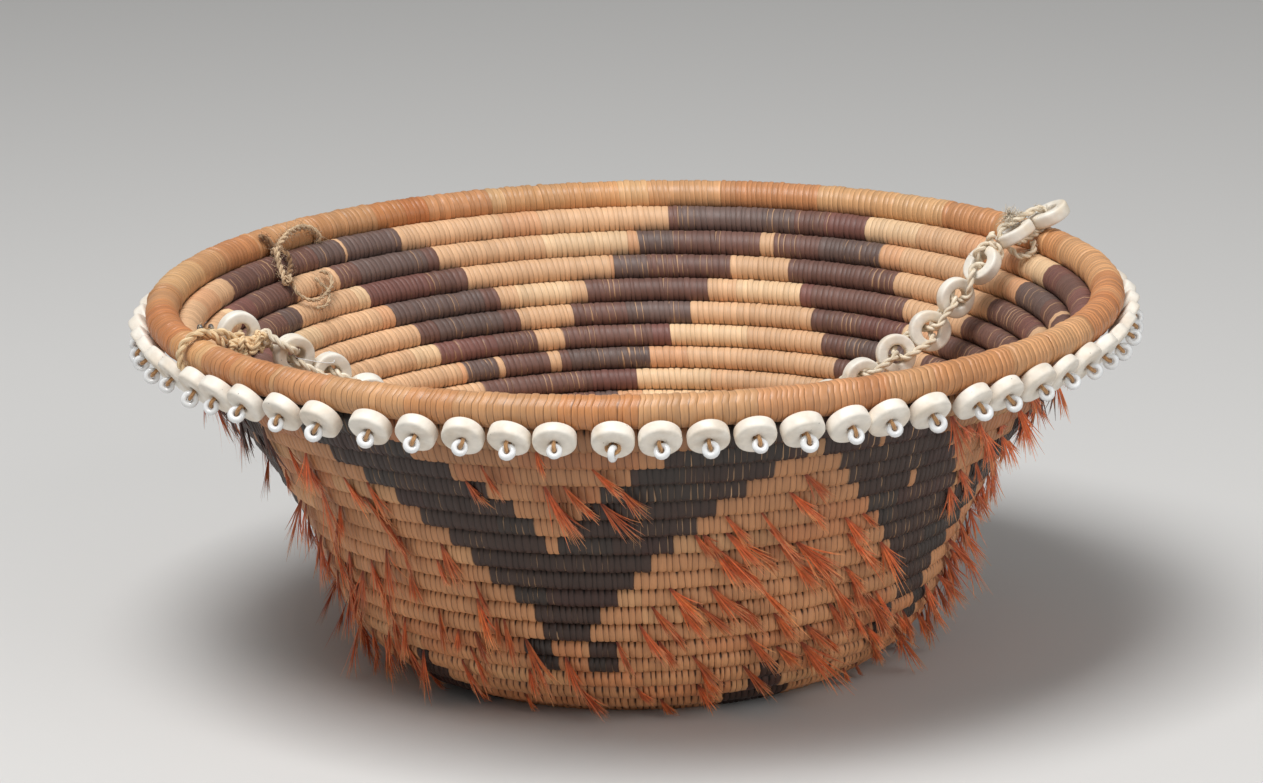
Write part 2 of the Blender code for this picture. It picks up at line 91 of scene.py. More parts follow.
# Ring of discs and glass beads, as in the CAD
RING_FRONT = (
    -65.2, -59.0, -54.2, -48.7, -42.6, -37.0, -30.3, -24.6, -19.1, -13.9, -9.0,
    -2.7, 2.3, 7.5, 12.6, 17.9, 23.3, 28.1, 33.5, 39.7, 44.7, 50.4,
)
RING_BACK_COUNT = 45
RING_DISC_RADIUS = 0.0046
RING_DISC_THICKNESS = 0.0032
RING_DISC_DROOP = 38.0
RING_DISC_CLEARANCE = 0.0007
RING_DISC_DROP = 0.0049

# What the ring has beyond the CAD
RING_HOLE_RADIUS = 0.0008
DISC_WAVE = 0.018               # how far the discs' outlines wave, as a share of their radius
GLASS_BEAD_RADIUS = 0.0019      # a little more than in the CAD
EDGE_ON_BEAD = 11               # number of the disc, counted from the left, whose bead is seen from the side
EDGE_ON_TURN = 75.0
RING_TURN_SPREAD = (0.05, 0.04)         # how unevenly the discs face, to the side and up, as slopes
RING_SIZE_SPREAD = (0.022, 0.07)        # how uneven their radii and thicknesses are, as shares
BEAD_TURN_SPREAD = 14.0
BEAD_LEAN = (0.25, 0.12)                # mean and spread of how far the beads look outwards
BEAD_SIZE_SPREAD = 0.05
BEAD_ASIDE = (0.0003, 0.0002)           # mean and spread of how far they lie to the side of the hole
BEAD_LOOP_REACH = 0.0027        # how far the loop of thread that holds a bead stands off the hole's middle
BEAD_LOOP_DEPTH = 0.0014
BEAD_LOOP_RADIUS = 0.00044
SEWING_RADIUS = 0.00046

# Carrying string, as in the CAD
CORD_RADIUS = 0.0008
STRING_DISC_RADIUS = 0.0048
STRING_DISC_THICKNESS = 0.0031
STRING_DISC_HOLE_RADIUS = 0.0022
STRING_DISC_STEP = 0.0101
FIRST_DISC_AT = 0.0085
LAST_DISC_AT = 0.0067
LAST_DISC_ROLL = 80.0
CORD_CLEARANCE = 0.0005
TIE_GAP = 0.0004
CORD_LEAD = 0.0012
STRING_LEFT_AZIMUTH = -63.0
STRING_RIGHT_AZIMUTH = 114.0
STRING_LEFT_INSET = 0.0037
ROUTE_FROM_LEFT = (
    (0.0114, 0.0018), (0.0185, -0.0030), (0.0262, -0.0080), (0.0450, -0.0195), (0.0700, -0.0295),
    (0.1000, -0.0355),
)
ROUTE_FROM_RIGHT = (
    (0.0840, -0.0355), (0.0610, -0.0310), (0.0401, -0.0214), (0.0308, -0.0165), (0.0240, -0.0092),
    (0.0178, -0.0033), (0.0145, 0.0026),
)

# What the string's cord has beyond the CAD
TWIST_SPREAD = 7.0              # how unevenly the string's discs turn about its line
LEAN_SPREAD = 0.06              # and lean along it, as a slope
DISC_SIZE = (-0.005, 0.018)     # mean and spread of how far their radii are off
DISC_DEPTH_SPREAD = 0.06
STRAND_RADIUS = 0.0009          # the string's strands as shown, a little swollen
STRAND_APART = 0.00095          # half the distance between the string's strands where they cross in a hole
PLIES = 2
PLY_OFFSET = 0.47               # how far a ply lies off its cord's middle, in radii of the cord
PLY_RADIUS = 0.54
STRAND_PITCH = 0.0052           # along a cord for one turn of its plies
TIE_PITCH = 0.0048
DISC_STRAND_PITCH = 0.0046
LOOSE_PITCH = 0.0044
CORE_PITCH = 0.0036
TIGHT_PITCH = 0.0034
PATH_SPACING = 0.0003           # between the points of a cord's path
CURVE_STEPS = 24                # from one knot of a curve to the next, before it is spaced
FIBRE_RADIUS = 0.00005
FIBRE_LENGTH = 0.0016
SHORT_FIBRE_LENGTH = 0.0014
FILAMENT_RADIUS = 0.0001

# Ties and twine, as in the CAD
TIE_CORD_RADIUS = 0.0009
LEFT_TIE_AZIMUTH = -62.0
LEFT_TIE_CLEARANCE = 0.0007
LEFT_TIE_BENDS = (-30.0, 5.0, 45.0, 90.0, 130.0, 160.0)
KNOT_START = (0.0046, 0.0015)
KNOT_RADIUS = 0.0019
LEFT_DISC_AT = (0.0074, 0.0026)
RIM_DISC_TILT = 24.8
RIM_DISC_CLEARANCE = 0.0004
RIM_DISC_SHIFT = 0.0032
TWINE_RADIUS = 0.0006
TWINE_AZIMUTH = -128.0

# What the ties have beyond the CAD. A spot in the string's plane is a distance along it, a height, and how
# far it lies to the side. The distances of LOOSE_LOOP and FRAYED_END run back from the right end.
KNOT_CORD_RADIUS = 0.00072
KNOTS = (                       # for each knot: place along the lump, size, turn, and drop
    (0.0, 0.75, 20.0, 0.0010), (0.34, 1.1, 95.0, 0.0016), (0.72, 1.05, 170.0, 0.0014), (0.98, 0.6, 40.0, 0.0),
)
LEFT_GLASS = ((-0.0026, 0.0052, -0.0010), (0.0, 0.0049, -0.0012))
LEFT_GLASS_RADIUS = 0.00115
LEFT_WRAP = (
    (-0.0042, 0.0042, 0.0014), (-0.0016, 0.0040, 0.0018), (0.0008, 0.0032, 0.0016), (0.0028, 0.0018, 0.0010),
)
GLASS_THREAD_ENDS = ((-0.0046, 0.0046, -0.0004), (0.0024, 0.0036, -0.0004))
DISC_STRAND_START = ((-0.0012, 0.0044, 0.0004), (0.0022, 0.0041, -0.0002))
LOOSE_LOOP = (
    (0.0112, 0.0010, -0.0012), (0.0095, -0.0015, 0.0022), (0.0074, -0.0016, 0.0030),
    (0.0056, -0.0006, 0.0028), (0.0050, 0.0012, 0.0014),
)
FRAYED_END = ((0.0104, 0.0046, -0.0008), (0.0098, 0.0062, -0.0016), (0.0088, 0.0078, -0.0020))
OUTER_SHELL_ROLL = 8.0          # how far the two shown discs lean back about the slope they lie on
INNER_SHELL_ROLL = 17.0

# What the twine has beyond the CAD. A spot on the rim is a turn from the twine's azimuth, an angle round the
# coil, and a distance off it in radii of the twine. One on the wall has a course in place of the angle.
TWINE_ARCH = (
    (-4.2, 212.0, 0.5), (-4.3, 190.0, 1.0), (-3.8, 170.0, 1.4), (-2.8, 155.0, 1.8), (-1.2, 146.0, 2.0),
    (1.0, 150.0, 2.0), (2.6, 160.0, 1.6), (3.9, 176.0, 1.2), (4.9, 198.0, 1.0),
)
TWINE_DOWN = ((5.8, 0.6, 1.0), (6.4, 0.85, 1.0), (6.9, 1.1, 0.9), (7.4, 1.4, 0.9), (8.0, 1.75, 0.9))
TWINE_KNOT = (7.8, 1.8, 1.6)
TWINE_CURL = (
    (8.0, 1.8, 1.4), (7.2, 2.0, 1.2), (7.4, 2.3, 1.0), (6.2, 2.7, 1.0), (4.0, 2.85, 1.4), (1.5, 2.7, 1.8),
    (-0.3, 2.45, 1.8), (-1.0, 2.05, 1.6), (0.2, 1.85, 1.2),
)
TWINE_TAIL = (
    (1.8, 2.0, 1.0), (1.4, 2.35, 1.2), (1.0, 2.6, 1.4), (1.8, 2.95, 1.4), (3.3, 3.15, 1.2), (5.2, 3.1, 1.0),
)
ARCH_RADIUS = 0.0008            # radii of the strands, which differ from the CAD's one twine
CURL_RADIUS = 0.0005
TAIL_RADIUS = 0.00045
BROWN_RADIUS = 0.00075
TWINE_KNOT_RADIUS = 0.0011
TWINE_KNOT_TURN = 40.0
BROWN_ON_RIM = ((6.6, 132.0, 0.6), (5.8, 147.0, 0.7), (5.2, 165.0, 0.8), (4.6, 186.0, 0.9))
BROWN_DOWN = ((4.6, 0.85, 1.3), (4.5, 1.05, 1.2), (4.9, 1.3, 1.0), (6.4, 1.6, 1.0), (7.8, 1.85, 1.0))

# Feathers. Lengths and widths are a mean, a spread, a least and a most.
FEATHER_LOWEST = 0.0006         # no feather hangs lower than this
FEATHER_STEP = 0.0058           # between the places along a course that may hold a tuft
FEATHER_LENGTH = (0.0104, 0.0024, 0.0055, 0.0150)
FEATHER_WIDTH = (0.0016, 0.0006, 0.0006, 0.0032)
BARBS = 24                      # in a tuft
BARB_HALF_WIDTH = 0.00013
BARB_STEPS = 6                  # points along a barb
SHARE_BY_AZIMUTH = (            # how many of the places hold one
    (-180.0, -100.0, -60.0, -15.0, 5.0, 45.0, 60.0, 110.0, 140.0, 180.0),
    (0.4, 0.52, 0.52, 0.38, 0.5, 0.5, 0.9, 0.9, 0.5, 0.4),
)
SLOPE_BY_AZIMUTH = (            # how far the tufts lean sideways
    (-180.0, -60.0, -20.0, 5.0, 60.0, 110.0, 180.0), (0.3, 0.1, 0.3, 0.85, 0.9, 0.4, 0.3),
)
PLUMES = ((-66.0, 6.0), (-60.0, 5.0), (68.0, 8.0))     # azimuths of the dark plumes, and how far they scatter
PLUMES_EACH = 6
PLUME_BARBS = 6
PLUME_HALF_WIDTH = 0.00024      # of a plume's barb
PLUME_COURSES = (2.45, 3.45, 4.45)
PLUME_LENGTH = (0.0088, 0.0016)         # mean and spread
PLUME_WIDTH = (0.0008, 0.0016)          # least and most

# The zigzag's chart: for each course from the rim, how far its dark band lies to each side of a dark point,
# in degrees, from its inner edge to its outer one.
DARK_POINTS = (-12.8, 56.3, 125.4, 194.8, 271.0)
ZIGZAG = {
    2: (19.7, 40.0), 3: (15.8, 33.4), 4: (11.6, 30.2), 5: (7.6, 26.8), 6: (4.8, 23.8), 7: (2.4, 20.6),
    8: (1.0, 17.4), 9: (0.0, 14.6), 10: (0.0, 11.6), 11: (0.0, 8.9), 12: (0.0, 6.2), 13: (0.0, 4.2),
    14: (3.7, 8.3), 15: (2.8, 8.0),
}
LOWER_POINTS = (25.0, 95.0, 164.5, 235.0, 313.0)
LOWER_STEPS = {16: 1.7, 17: 3.8, 18: 7.8, 19: 10.0, 20: 9.0, 21: 6.0, 22: 3.0}

# Camera and lamps
CAMERA_SPOT = (-0.00119, -1.09962, 0.33894)
CAMERA_TIP = 14.2726            # degrees down from level
CAMERA_ROLL = -1.2606
CAMERA_LENS = 142.47
LAMPS = (                       # name, spot, target, width and watts
    ("key", (-0.25, -0.38, 1.27), (0.0, 0.0, 0.03), 0.7, 17.0),
    ("fill", (0.8, -0.8, 0.6), (0.0, 0.0, 0.04), 0.8, 4.0),
)
SKY_STRENGTH = 0.25
FLOOR_REACH = 4.0


def srgb(red, green, blue):
    """A screen colour, 0 to 255, as linear light."""
    parts = np.array((red, green, blue)) / 255.0
    return np.where(parts <= 0.04045, parts / 12.92, ((parts + 0.055) / 1.055) ** 2.4)


TAN = srgb(206, 156, 110)
TAN_ORANGE = srgb(204, 146, 100)
TAN_PALE = srgb(216, 172, 124)
DYED_BROWN = srgb(70, 50, 41)
DYED_GREY = srgb(64, 52, 45)
DYED_RED = srgb(74, 49, 41)
STREAK = srgb(216, 172, 130)
# Painted light: the stitches inside the bowl, where the light falls on them from above, are drawn lighter.
INSIDE_DYED_PAINTED_LIGHT = np.array((2.8, 2.7, 3.0))         # how much lighter the dyed stitches are inside the bowl
INSIDE_TAN_PAINTED_LIGHT = np.array((1.16, 1.32, 1.58))      # and the tan ones
OUTSIDE_TAN = np.array((1.07, 0.93, 0.88))      # the tan ones are browner outside it
RIM_STAIN = np.array((0.10, 0.30, 0.44))        # how much the darkest strands of the rim lose of each colour
DYED_BELOW = 0.15               # the mean of a stitch's colour below which it counts as dyed
STRAND_RUN = (6, 22)            # one strand sews at least 6 stitches, and fewer than 22
WARM_RUN = (5, 26)              # and the same for patches of warmth, of wear and of the rim's stain
WORN_RUN = (4, 14)
STAIN_RUN = (3, 16)
SLIP_SHARE = 0.003              # of the dark stitches, sewn with a tan strand by mistake


def unit(vectors):
    """Vectors at length one."""
    return vectors / np.linalg.norm(vectors, axis=-1, keepdims=True)


def smooth_step(low, high, value):
    """0 below low, 1 above high, and 3t^2 - 2t^3 between them."""
    t = np.clip((value - low) / (high - low), 0.0, 1.0)
    return t * t * (3.0 - 2.0 * t)


def circle(count):
    """Angles once round, evenly."""
    return np.linspace(0.0, 2.0 * math.pi, count, endpoint=False)


def around(azimuth, out, height):
    """Points at azimuths in degrees, distances from the middle and heights."""
    turn = np.radians(azimuth)
    return np.stack(np.broadcast_arrays(out * np.sin(turn), -out * np.cos(turn), height), axis=-1)


def from_front(azimuth):
    """Azimuths as degrees to either side of the front."""
    return (azimuth + 180.0) % 360.0 - 180.0


def rounded(angle, exponent):
    """Cosine and sine parts of a superellipse: the sign of each with its size to the power 2 / exponent."""
    wide, tall = [np.sign(part) * np.abs(part) ** (2.0 / exponent) for part in (np.cos(angle), np.sin(angle))]
    return wide, tall


class Grid:
    """Points (copies, rows, columns, 3), and the quads, marks and tones on them.

    Row and column marks become the UV map, one value more than there are faces that way. Tone is a colour
    for each face, for each copy or for all.
    """

    def __init__(self, points, close_rows=False, close_columns=False, row_marks=None, column_marks=None,
                 tone=None):
        self.points = points if points.ndim == 4 else points[None]
        copies, rows, columns = self.points.shape[:3]
        face_rows = rows if close_rows else rows - 1
        face_columns = columns if close_columns else columns - 1
        if row_marks is None:
            row_marks = np.arange(face_rows + 1.0)
        if column_marks is None:
            column_marks = np.linspace(0.0, 1.0, face_columns + 1)
        row, column = np.meshgrid(np.arange(face_rows), np.arange(face_columns), indexing="ij")
        corners = ((row, column), (row + 1, column), (row + 1, column + 1), (row, column + 1))
        quads = np.stack([r % rows * columns + c % columns for r, c in corners], axis=-1).reshape(-1, 4)
        start = np.arange(copies)[:, None, None] * rows * columns
        self.faces = (quads[None] + start).reshape(-1, 4)
        pairs = [np.stack((row_marks[r], column_marks[c]), axis=-1) for r, c in corners]
        self.uvs = np.tile(np.stack(pairs, axis=2).reshape(-1, 2), (copies, 1))
        tone = np.ones((1, 4)) if tone is None else tone
        self.tones = np.repeat(tone, len(self.faces) // len(tone), axis=0)


def add_piece(name, grids, finish, replaces=(), body="basket", weld=True):
    """One object at the origin from grids, riding on a body.

    Where a grid runs to a pole, weld merges the pole's points and turns the faces outwards.
    """
    points = np.concatenate([grid.points.reshape(-1, 3) for grid in grids])
    starts = np.cumsum([0] + [grid.points[..., 0].size for grid in grids])
    faces = np.concatenate([grid.faces + start for grid, start in zip(grids, starts)])
    mesh = bpy.data.meshes.new(name)
    mesh.from_pydata(points, [], faces)
    marks = mesh.uv_layers.new(name="marks")
    marks.uv.foreach_set("vector", np.concatenate([grid.uvs for grid in grids]).astype(np.float32).ravel())
    tones = mesh.attributes.new("tone", "FLOAT_COLOR", "FACE")
    tones.data.foreach_set("color", np.concatenate([grid.tones for grid in grids]).astype(np.float32).ravel())
    if weld:
        bm = bmesh.new()
        bm.from_mesh(mesh)
        bmesh.ops.remove_doubles(bm, verts=bm.verts, dist=1e-7)
        bmesh.ops.recalc_face_normals(bm, faces=bm.faces)
        bm.to_mesh(mesh)
        bm.free()
    mesh.shade_smooth()
    mesh.materials.append(finish)
    piece = bpy.data.objects.new(name, mesh)
    bpy.context.scene.collection.objects.link(piece)
    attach(piece, body)
    if replaces:
        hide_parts(*replaces)
    return piece


class Nodes:
    """Short calls for building a material's node tree. Inputs go by their places or their names."""

    def __init__(self, name):
        self.material = bpy.data.materials.new(name)
        self.material.use_nodes = True
        self.tree = self.material.node_tree

    def feed(self, node, inputs):
        """Link each input to a value that comes from a node, or set a plain one on the socket itself."""
        for key, value in inputs.items():
            if isinstance(value, bpy.types.NodeSocket):
                self.tree.links.new(value, node.inputs[key])
            else:
                node.inputs[key].default_value = (*value, 1.0) if isinstance(value, np.ndarray) else value

    def add(self, kind, inputs=None, output=0, **settings):
        """One output of a new node."""
        node = self.tree.nodes.new(kind)
        for key, value in settings.items():
            setattr(node, key, value)
        self.feed(node, inputs or {})
        return node.outputs[output]

    def math(self, operation, first, second=0.0):
        """An operation on one or two numbers."""
        return self.add("ShaderNodeMath", {0: first, 1: second}, operation=operation)

    def ramp(self, value, low, high, start=0.0, end=1.0):
        """start below low, end above high, smooth between them."""
        inputs = dict(enumerate((value, low, high, start, end)))
        return self.add("ShaderNodeMapRange", inputs, interpolation_type="SMOOTHSTEP", clamp=True)

    def mix(self, share, first, second, blend="MIX"):
        """The first colour, with a share of the second."""
        inputs = {0: share, 6: first, 7: second}
        return self.add("ShaderNodeMix", inputs, 2, data_type="RGBA", blend_type=blend)

    def dim(self, colour, factor):
        """A colour times a grey factor."""
        return self.add("ShaderNodeVectorMath", {0: colour, 3: factor}, operation="SCALE")

    def toned(self, colour, *patterns):
        """A colour dimmed and lifted by patterns, each a value with the ramp that it goes through."""
        for pattern in patterns:
            colour = self.dim(colour, self.ramp(*pattern))
        return colour

    def place(self):
        """Object coordinates."""
        return self.add("ShaderNodeTexCoord", output="Object")

    def noise(self, scale, detail=3.0, stretch=None, source=None, roughness=0.5):
        """A noise from 0 to 1 on Object coordinates, or on another vector, stretched if asked."""
        vector = source or self.place()
        if stretch:
            vector = self.add("ShaderNodeMapping", {"Vector": vector, "Scale": stretch})
        inputs = {"Vector": vector, "Scale": scale, "Detail": detail, "Roughness": roughness}
        return self.add("ShaderNodeTexNoise", inputs, "Fac")

    def marks(self):
        """The piece's two marks, from its UV map: both, the first and the second."""
        uv = self.add("ShaderNodeUVMap", uv_map="marks")
        return uv, *self.add("ShaderNodeSeparateXYZ", {0: uv}).node.outputs[:2]

    def tone(self):
        """The colour that each face carries, and its fourth part."""
        found = self.add("ShaderNodeAttribute", attribute_name="tone").node.outputs
        return found["Color"], found["Alpha"]

    def finish(self, colour, roughness, bump=None, **others):
        """The material, once its shader is fed. A bump is a height, a strength and a distance."""
        inputs = {"Base Color": colour, "Roughness": roughness}
        inputs.update((name.replace("_", " "), value) for name, value in others.items())
        if bump:
            inputs["Normal"] = self.add("ShaderNodeBump", dict(zip(("Height", "Strength", "Distance"), bump)))
        self.feed(self.tree.nodes["Principled BSDF"], inputs)
        return self.material


def stitch_finish(name, capped):
    """Split root stitches: toned by strand, with painted shade in their grooves, fibres along them and worn
    streaks.

    The groove is a thin line of painted shade along the stitch. It opens to a dark pit of painted shade at
    the stitch's free end, the upper one outside the bowl and the lower one inside it, and a little at the
    other end.
    The joins with the coils above and below carry painted shade too, darker outside the bowl. A coil that is
    capped has no pits, and no join above it.
    """
    made = Nodes(name)
    uv, across, turn = made.marks()
    colour, wear = made.tone()
    share = made.math("FRACT", across)
    edge = made.math("SUBTRACT", 0.5, made.math("ABSOLUTE", made.math("SUBTRACT", share, 0.5)))
    angle = made.math("MULTIPLY", turn, 2.0 * math.pi)
    rise = made.math("SINE", angle)
    outer = made.ramp(made.math("COSINE", angle), -0.1, 0.1)

    def by_side(inside, outside):
        """A number for the bowl's inside and one for its outside, smooth between them."""
        return made.ramp(outer, 0.0, 1.0, inside, outside)

    # Painted shade: the groove darkens each stitch's edges, more outside the bowl than inside.
    groove = made.ramp(edge, 0.0, 0.10, by_side(0.62, 0.42), 1.0)
    # Painted shade: dark pits between the stitches' free ends.
    if not capped:
        free = made.math("MULTIPLY", rise, by_side(-1.0, 1.0))
        starts = by_side(0.70, 0.26)
        opened = made.ramp(free, starts, made.math("ADD", starts, 0.4))
        bound = made.ramp(made.math("MULTIPLY", free, -1.0), 0.70, 0.97, 0.0, 0.7)
        opened = made.math("MAXIMUM", opened, bound)
        width = made.ramp(made.noise(0.73, 1.0, None, uv), 0.35, 0.65, 0.10, 0.27)
        pit = made.ramp(edge, 0.03, width, by_side(0.25, 0.05), 1.0)
        kept = made.math("MULTIPLY", groove, made.math("SUBTRACT", 1.0, opened))
        groove = made.math("ADD", kept, made.math("MULTIPLY", pit, opened))
    # Painted shade along the joins with the neighbouring coils, darker outside the bowl.
    ends = made.math("MULTIPLY", rise, -1.0) if capped else made.math("ABSOLUTE", rise)
    join = made.ramp(ends, *JOIN, 1.0, by_side(0.74, 0.28))
    fibre = made.noise(1.0, 3.0, (9.0, 5.0, 1.0), uv, 0.6)
    hair = made.noise(1.0, 2.0, (26.0, 3.0, 1.0), uv, 0.7)
    colour = made.toned(colour, (fibre, 0.25, 0.75, 0.88, 1.09), (hair, 0.3, 0.7, 0.93, 1.05),
                        (made.noise(55.0), 0.3, 0.7, 0.94, 1.05))
    along = made.noise(1.0, 1.0, (1.0, 3.2, 1.0), uv)
    streak = made.ramp(edge, 0.05, by_side(0.15, 0.09), 1.0, 0.0)
    streak = made.math("MULTIPLY", streak, made.ramp(along, 0.41, 0.50))
    streak = made.math("MULTIPLY", streak, wear)
    colour = made.mix(streak, colour, STREAK)
    # Painted highlight: each rim wrap is drawn lighter along one edge and a little darker across the rest.
    if capped:
        colour = made.toned(colour, (share, 0.08, 0.42, 1.16, 0.96))
    # The painted shade of grooves, pits and joins, lifted where a worn streak lies.
    shade = made.math("MAXIMUM", made.math("MULTIPLY", groove, join), made.math("MULTIPLY", streak, 0.95))
    shine = (0.30, 0.46) if capped else (0.42, 0.60)
    relief = made.math("ADD", hair, made.math("MULTIPLY", fibre, 0.6))
    return made.finish(made.dim(colour, shade), made.ramp(fibre, 0.2, 0.8, *shine), (relief, 0.35, 0.0001))


def shell_finish(name, colour, warm):
    """Ground clam shell: chalky, with faint growth bands, worn warm patches and a few dark specks."""
    made = Nodes(name)
    cloud = made.noise(160.0, 4.0)
    bands = made.noise(420.0, 2.0, (1.0, 0.35, 1.4))
    inputs = {"Vector": made.place(), "Scale": 620.0}
    dots = made.add("ShaderNodeTexVoronoi", inputs, "Distance", feature="F1")
    rare = made.ramp(made.noise(240.0, 1.0), 0.56, 0.62)
    specks = made.math("MAXIMUM", made.ramp(dots, 0.05, 0.13, 0.45, 1.0), made.math("SUBTRACT", 1.0, rare))
    shown = made.mix(made.ramp(cloud, 0.4, 0.75), colour, warm)
    shown = made.dim(made.toned(shown, (bands, 0.35, 0.65, 0.93, 1.04)), specks)
    relief = made.math("ADD", made.noise(2600.0, 2.0), made.math("MULTIPLY", bands, 0.7))
    return made.finish(shown, made.ramp(cloud, 0.3, 0.7, 0.38, 0.55), (relief, 0.18, 0.0001))


def glass_finish(name, light, deep):
    """Glass seed beads: glossy and a little uneven."""
    made = Nodes(name)
    cloud = made.noise(500.0, 2.0)
    return made.finish(made.mix(cloud, light, deep), 0.16, (cloud, 0.12, 0.0002), Coat_Weight=0.4,
                       Coat_Roughness=0.06)


def cord_finish(name, pale, dark):
    """Twisted fibre: fine strands along each ply, darker between them, with worn patches."""
    made = Nodes(name)
    strands = made.noise(1.0, 3.0, (0.45, 9.0, 1.0), made.marks()[0], 0.65)
    colour = made.mix(made.ramp(strands, 0.32, 0.66), dark, pale)
    colour = made.toned(colour, (made.noise(260.0, 2.0), 0.3, 0.7, 0.86, 1.1))
    return made.finish(colour, 0.85, (strands, 0.6, 0.0002), Sheen_Weight=0.25)


def feather_finish(name, root, middle, tip):
    """Feather barbs: dark at the root, bright in the middle and pale at the tips."""
    made = Nodes(name)
    along = made.marks()[1]
    colour = made.mix(made.ramp(along, 0.0, 0.35), root, middle)
    colour = made.mix(made.ramp(along, 0.6, 1.0), colour, tip)
    colour = made.mix(1.0, colour, made.tone()[0], "MULTIPLY")
    colour = made.toned(colour, (made.noise(900.0, 2.0), 0.3, 0.7, 0.86, 1.12))
    return made.finish(colour, 0.6, Sheen_Weight=0.2)


@dataclass
class Coil:
    """One turn of the coil, by its section: distance out, height, radius, lean, and number from the rim."""

    out: float
    height: float
    radius: float
    lean: float
    course: int


def wall_coils():
    """The rim coil and the wall's turns, from the rim down, standing on z = 0."""
    coils = [Coil(RIM_RADIUS - RIM_COIL_RADIUS, 0.0, RIM_COIL_RADIUS, math.radians(WALL_LEAN[0]), 1)]
    for turn in range(WALL_TURNS):
        above = coils[-1]
        share = turn / (WALL_TURNS - 1)
        radius = np.interp(share * (len(COIL_RADII) - 1), np.arange(len(COIL_RADII)), COIL_RADII)
        lean = math.radians(np.interp(share * (len(WALL_LEAN) - 1), np.arange(len(WALL_LEAN)), WALL_LEAN))
        step = above.radius + radius + COIL_GAP
        out = above.out - step * math.sin(lean)
        coils.append(Coil(out, above.height - step * math.cos(lean), radius, lean, turn + 2))
    foot = coils[-1]
    lift = foot.radius * math.cos(math.pi / FOOT_SIDES) - foot.height
    for coil in coils:
        coil.height += lift
    return coils


def base_coil(out, course):
    """A turn of the base, lying flat."""
    return Coil(out, BASE_COIL_RADIUS, BASE_COIL_RADIUS, math.radians(90.0), course)


def base_segments(out):
    """How many straight sides the CAD gives a turn of the base."""
    return max(LEAST_SEGMENTS, 2 * round(math.pi * out / BASE_SEGMENT_LENGTH))


def base_coils(foot):
    """The base's turns, inwards from the foot coil, and the radius left inside them, as in the CAD."""
    coils = []
    corners = foot.out - foot.radius
    facets = corners
    sides = COIL_SEGMENTS
    while True:
        out = facets - COIL_GAP - BASE_COIL_RADIUS
        if base_segments(out) == sides:
            out = corners - COIL_GAP - BASE_COIL_RADIUS
        sides = base_segments(out)
        corners = out - BASE_COIL_RADIUS
        if corners * math.cos(math.pi / sides) < START_KNOT_LEAST:
            return coils, facets
        facets = corners * math.cos(math.pi / sides)
        coils.append(base_coil(out, foot.course + 1 + len(coils)))


def apart(azimuth, centres):
    """Degrees from each azimuth to the nearest of the centres."""
    return np.abs(from_front(azimuth[:, None] - np.array(centres)[None])).min(axis=1)


def dyed(course, azimuth):
    """Which stitches of a course are dark: those inside the zigzag's band, or inside a lower point."""
    dark = np.zeros(len(azimuth), dtype=bool)
    if course in ZIGZAG:
        inner, outer = ZIGZAG[course]
        off = apart(azimuth, DARK_POINTS)
        dark |= (off >= inner) & (off <= outer)
    if course in LOWER_STEPS:
        dark |= apart(azimuth, LOWER_POINTS) <= LOWER_STEPS[course]
    return dark


def runs(count, lengths, draw):
    """A number from 0 to 1 for each stitch, the same along each run, as one strand sews many stitches."""
    lengths = draw.integers(*lengths, size=count)
    values = draw.random(count)
    return np.repeat(values, lengths)[:count]


def stitch_tones(course, azimuth, draw):
    """A colour for each stitch, and as its fourth part how worn its edges are."""
    count = len(azimuth)
    dark = dyed(course, azimuth)
    strand = runs(count, STRAND_RUN, draw)[:, None]
    warm = runs(count, WARM_RUN, draw)[:, None]
    plain = np.where(strand < 0.16, TAN_ORANGE, np.where(strand > 0.84, TAN_PALE, TAN))
    plain = plain * (0.94 + 0.12 * warm)
    dye = np.where(strand < 0.26, DYED_GREY, np.where(strand > 0.84, DYED_RED, DYED_BROWN))
    dye = dye * (0.88 + 0.24 * warm)
    tones = np.where(dark[:, None], dye, plain)
    tones = tones * (1.0 + 0.055 * draw.standard_normal((count, 1)))
    slips = dark & (draw.random(count) < SLIP_SHARE)
    tones[slips] = TAN
    patch = runs(count, WORN_RUN, draw)
    marked = dark & (draw.random(count) < np.where(patch > 0.62, 0.65, 0.18))
    worn = np.where(marked, 0.35 + 0.6 * draw.random(count), 0.0)
    return np.concatenate((np.clip(tones, 0.01, 0.95), worn[:, None]), axis=1)


def per_mark(values):
    """Each stitch's value, once for each grid line across the stitch."""
    return np.repeat(values, len(STITCH_MARKS), axis=0)


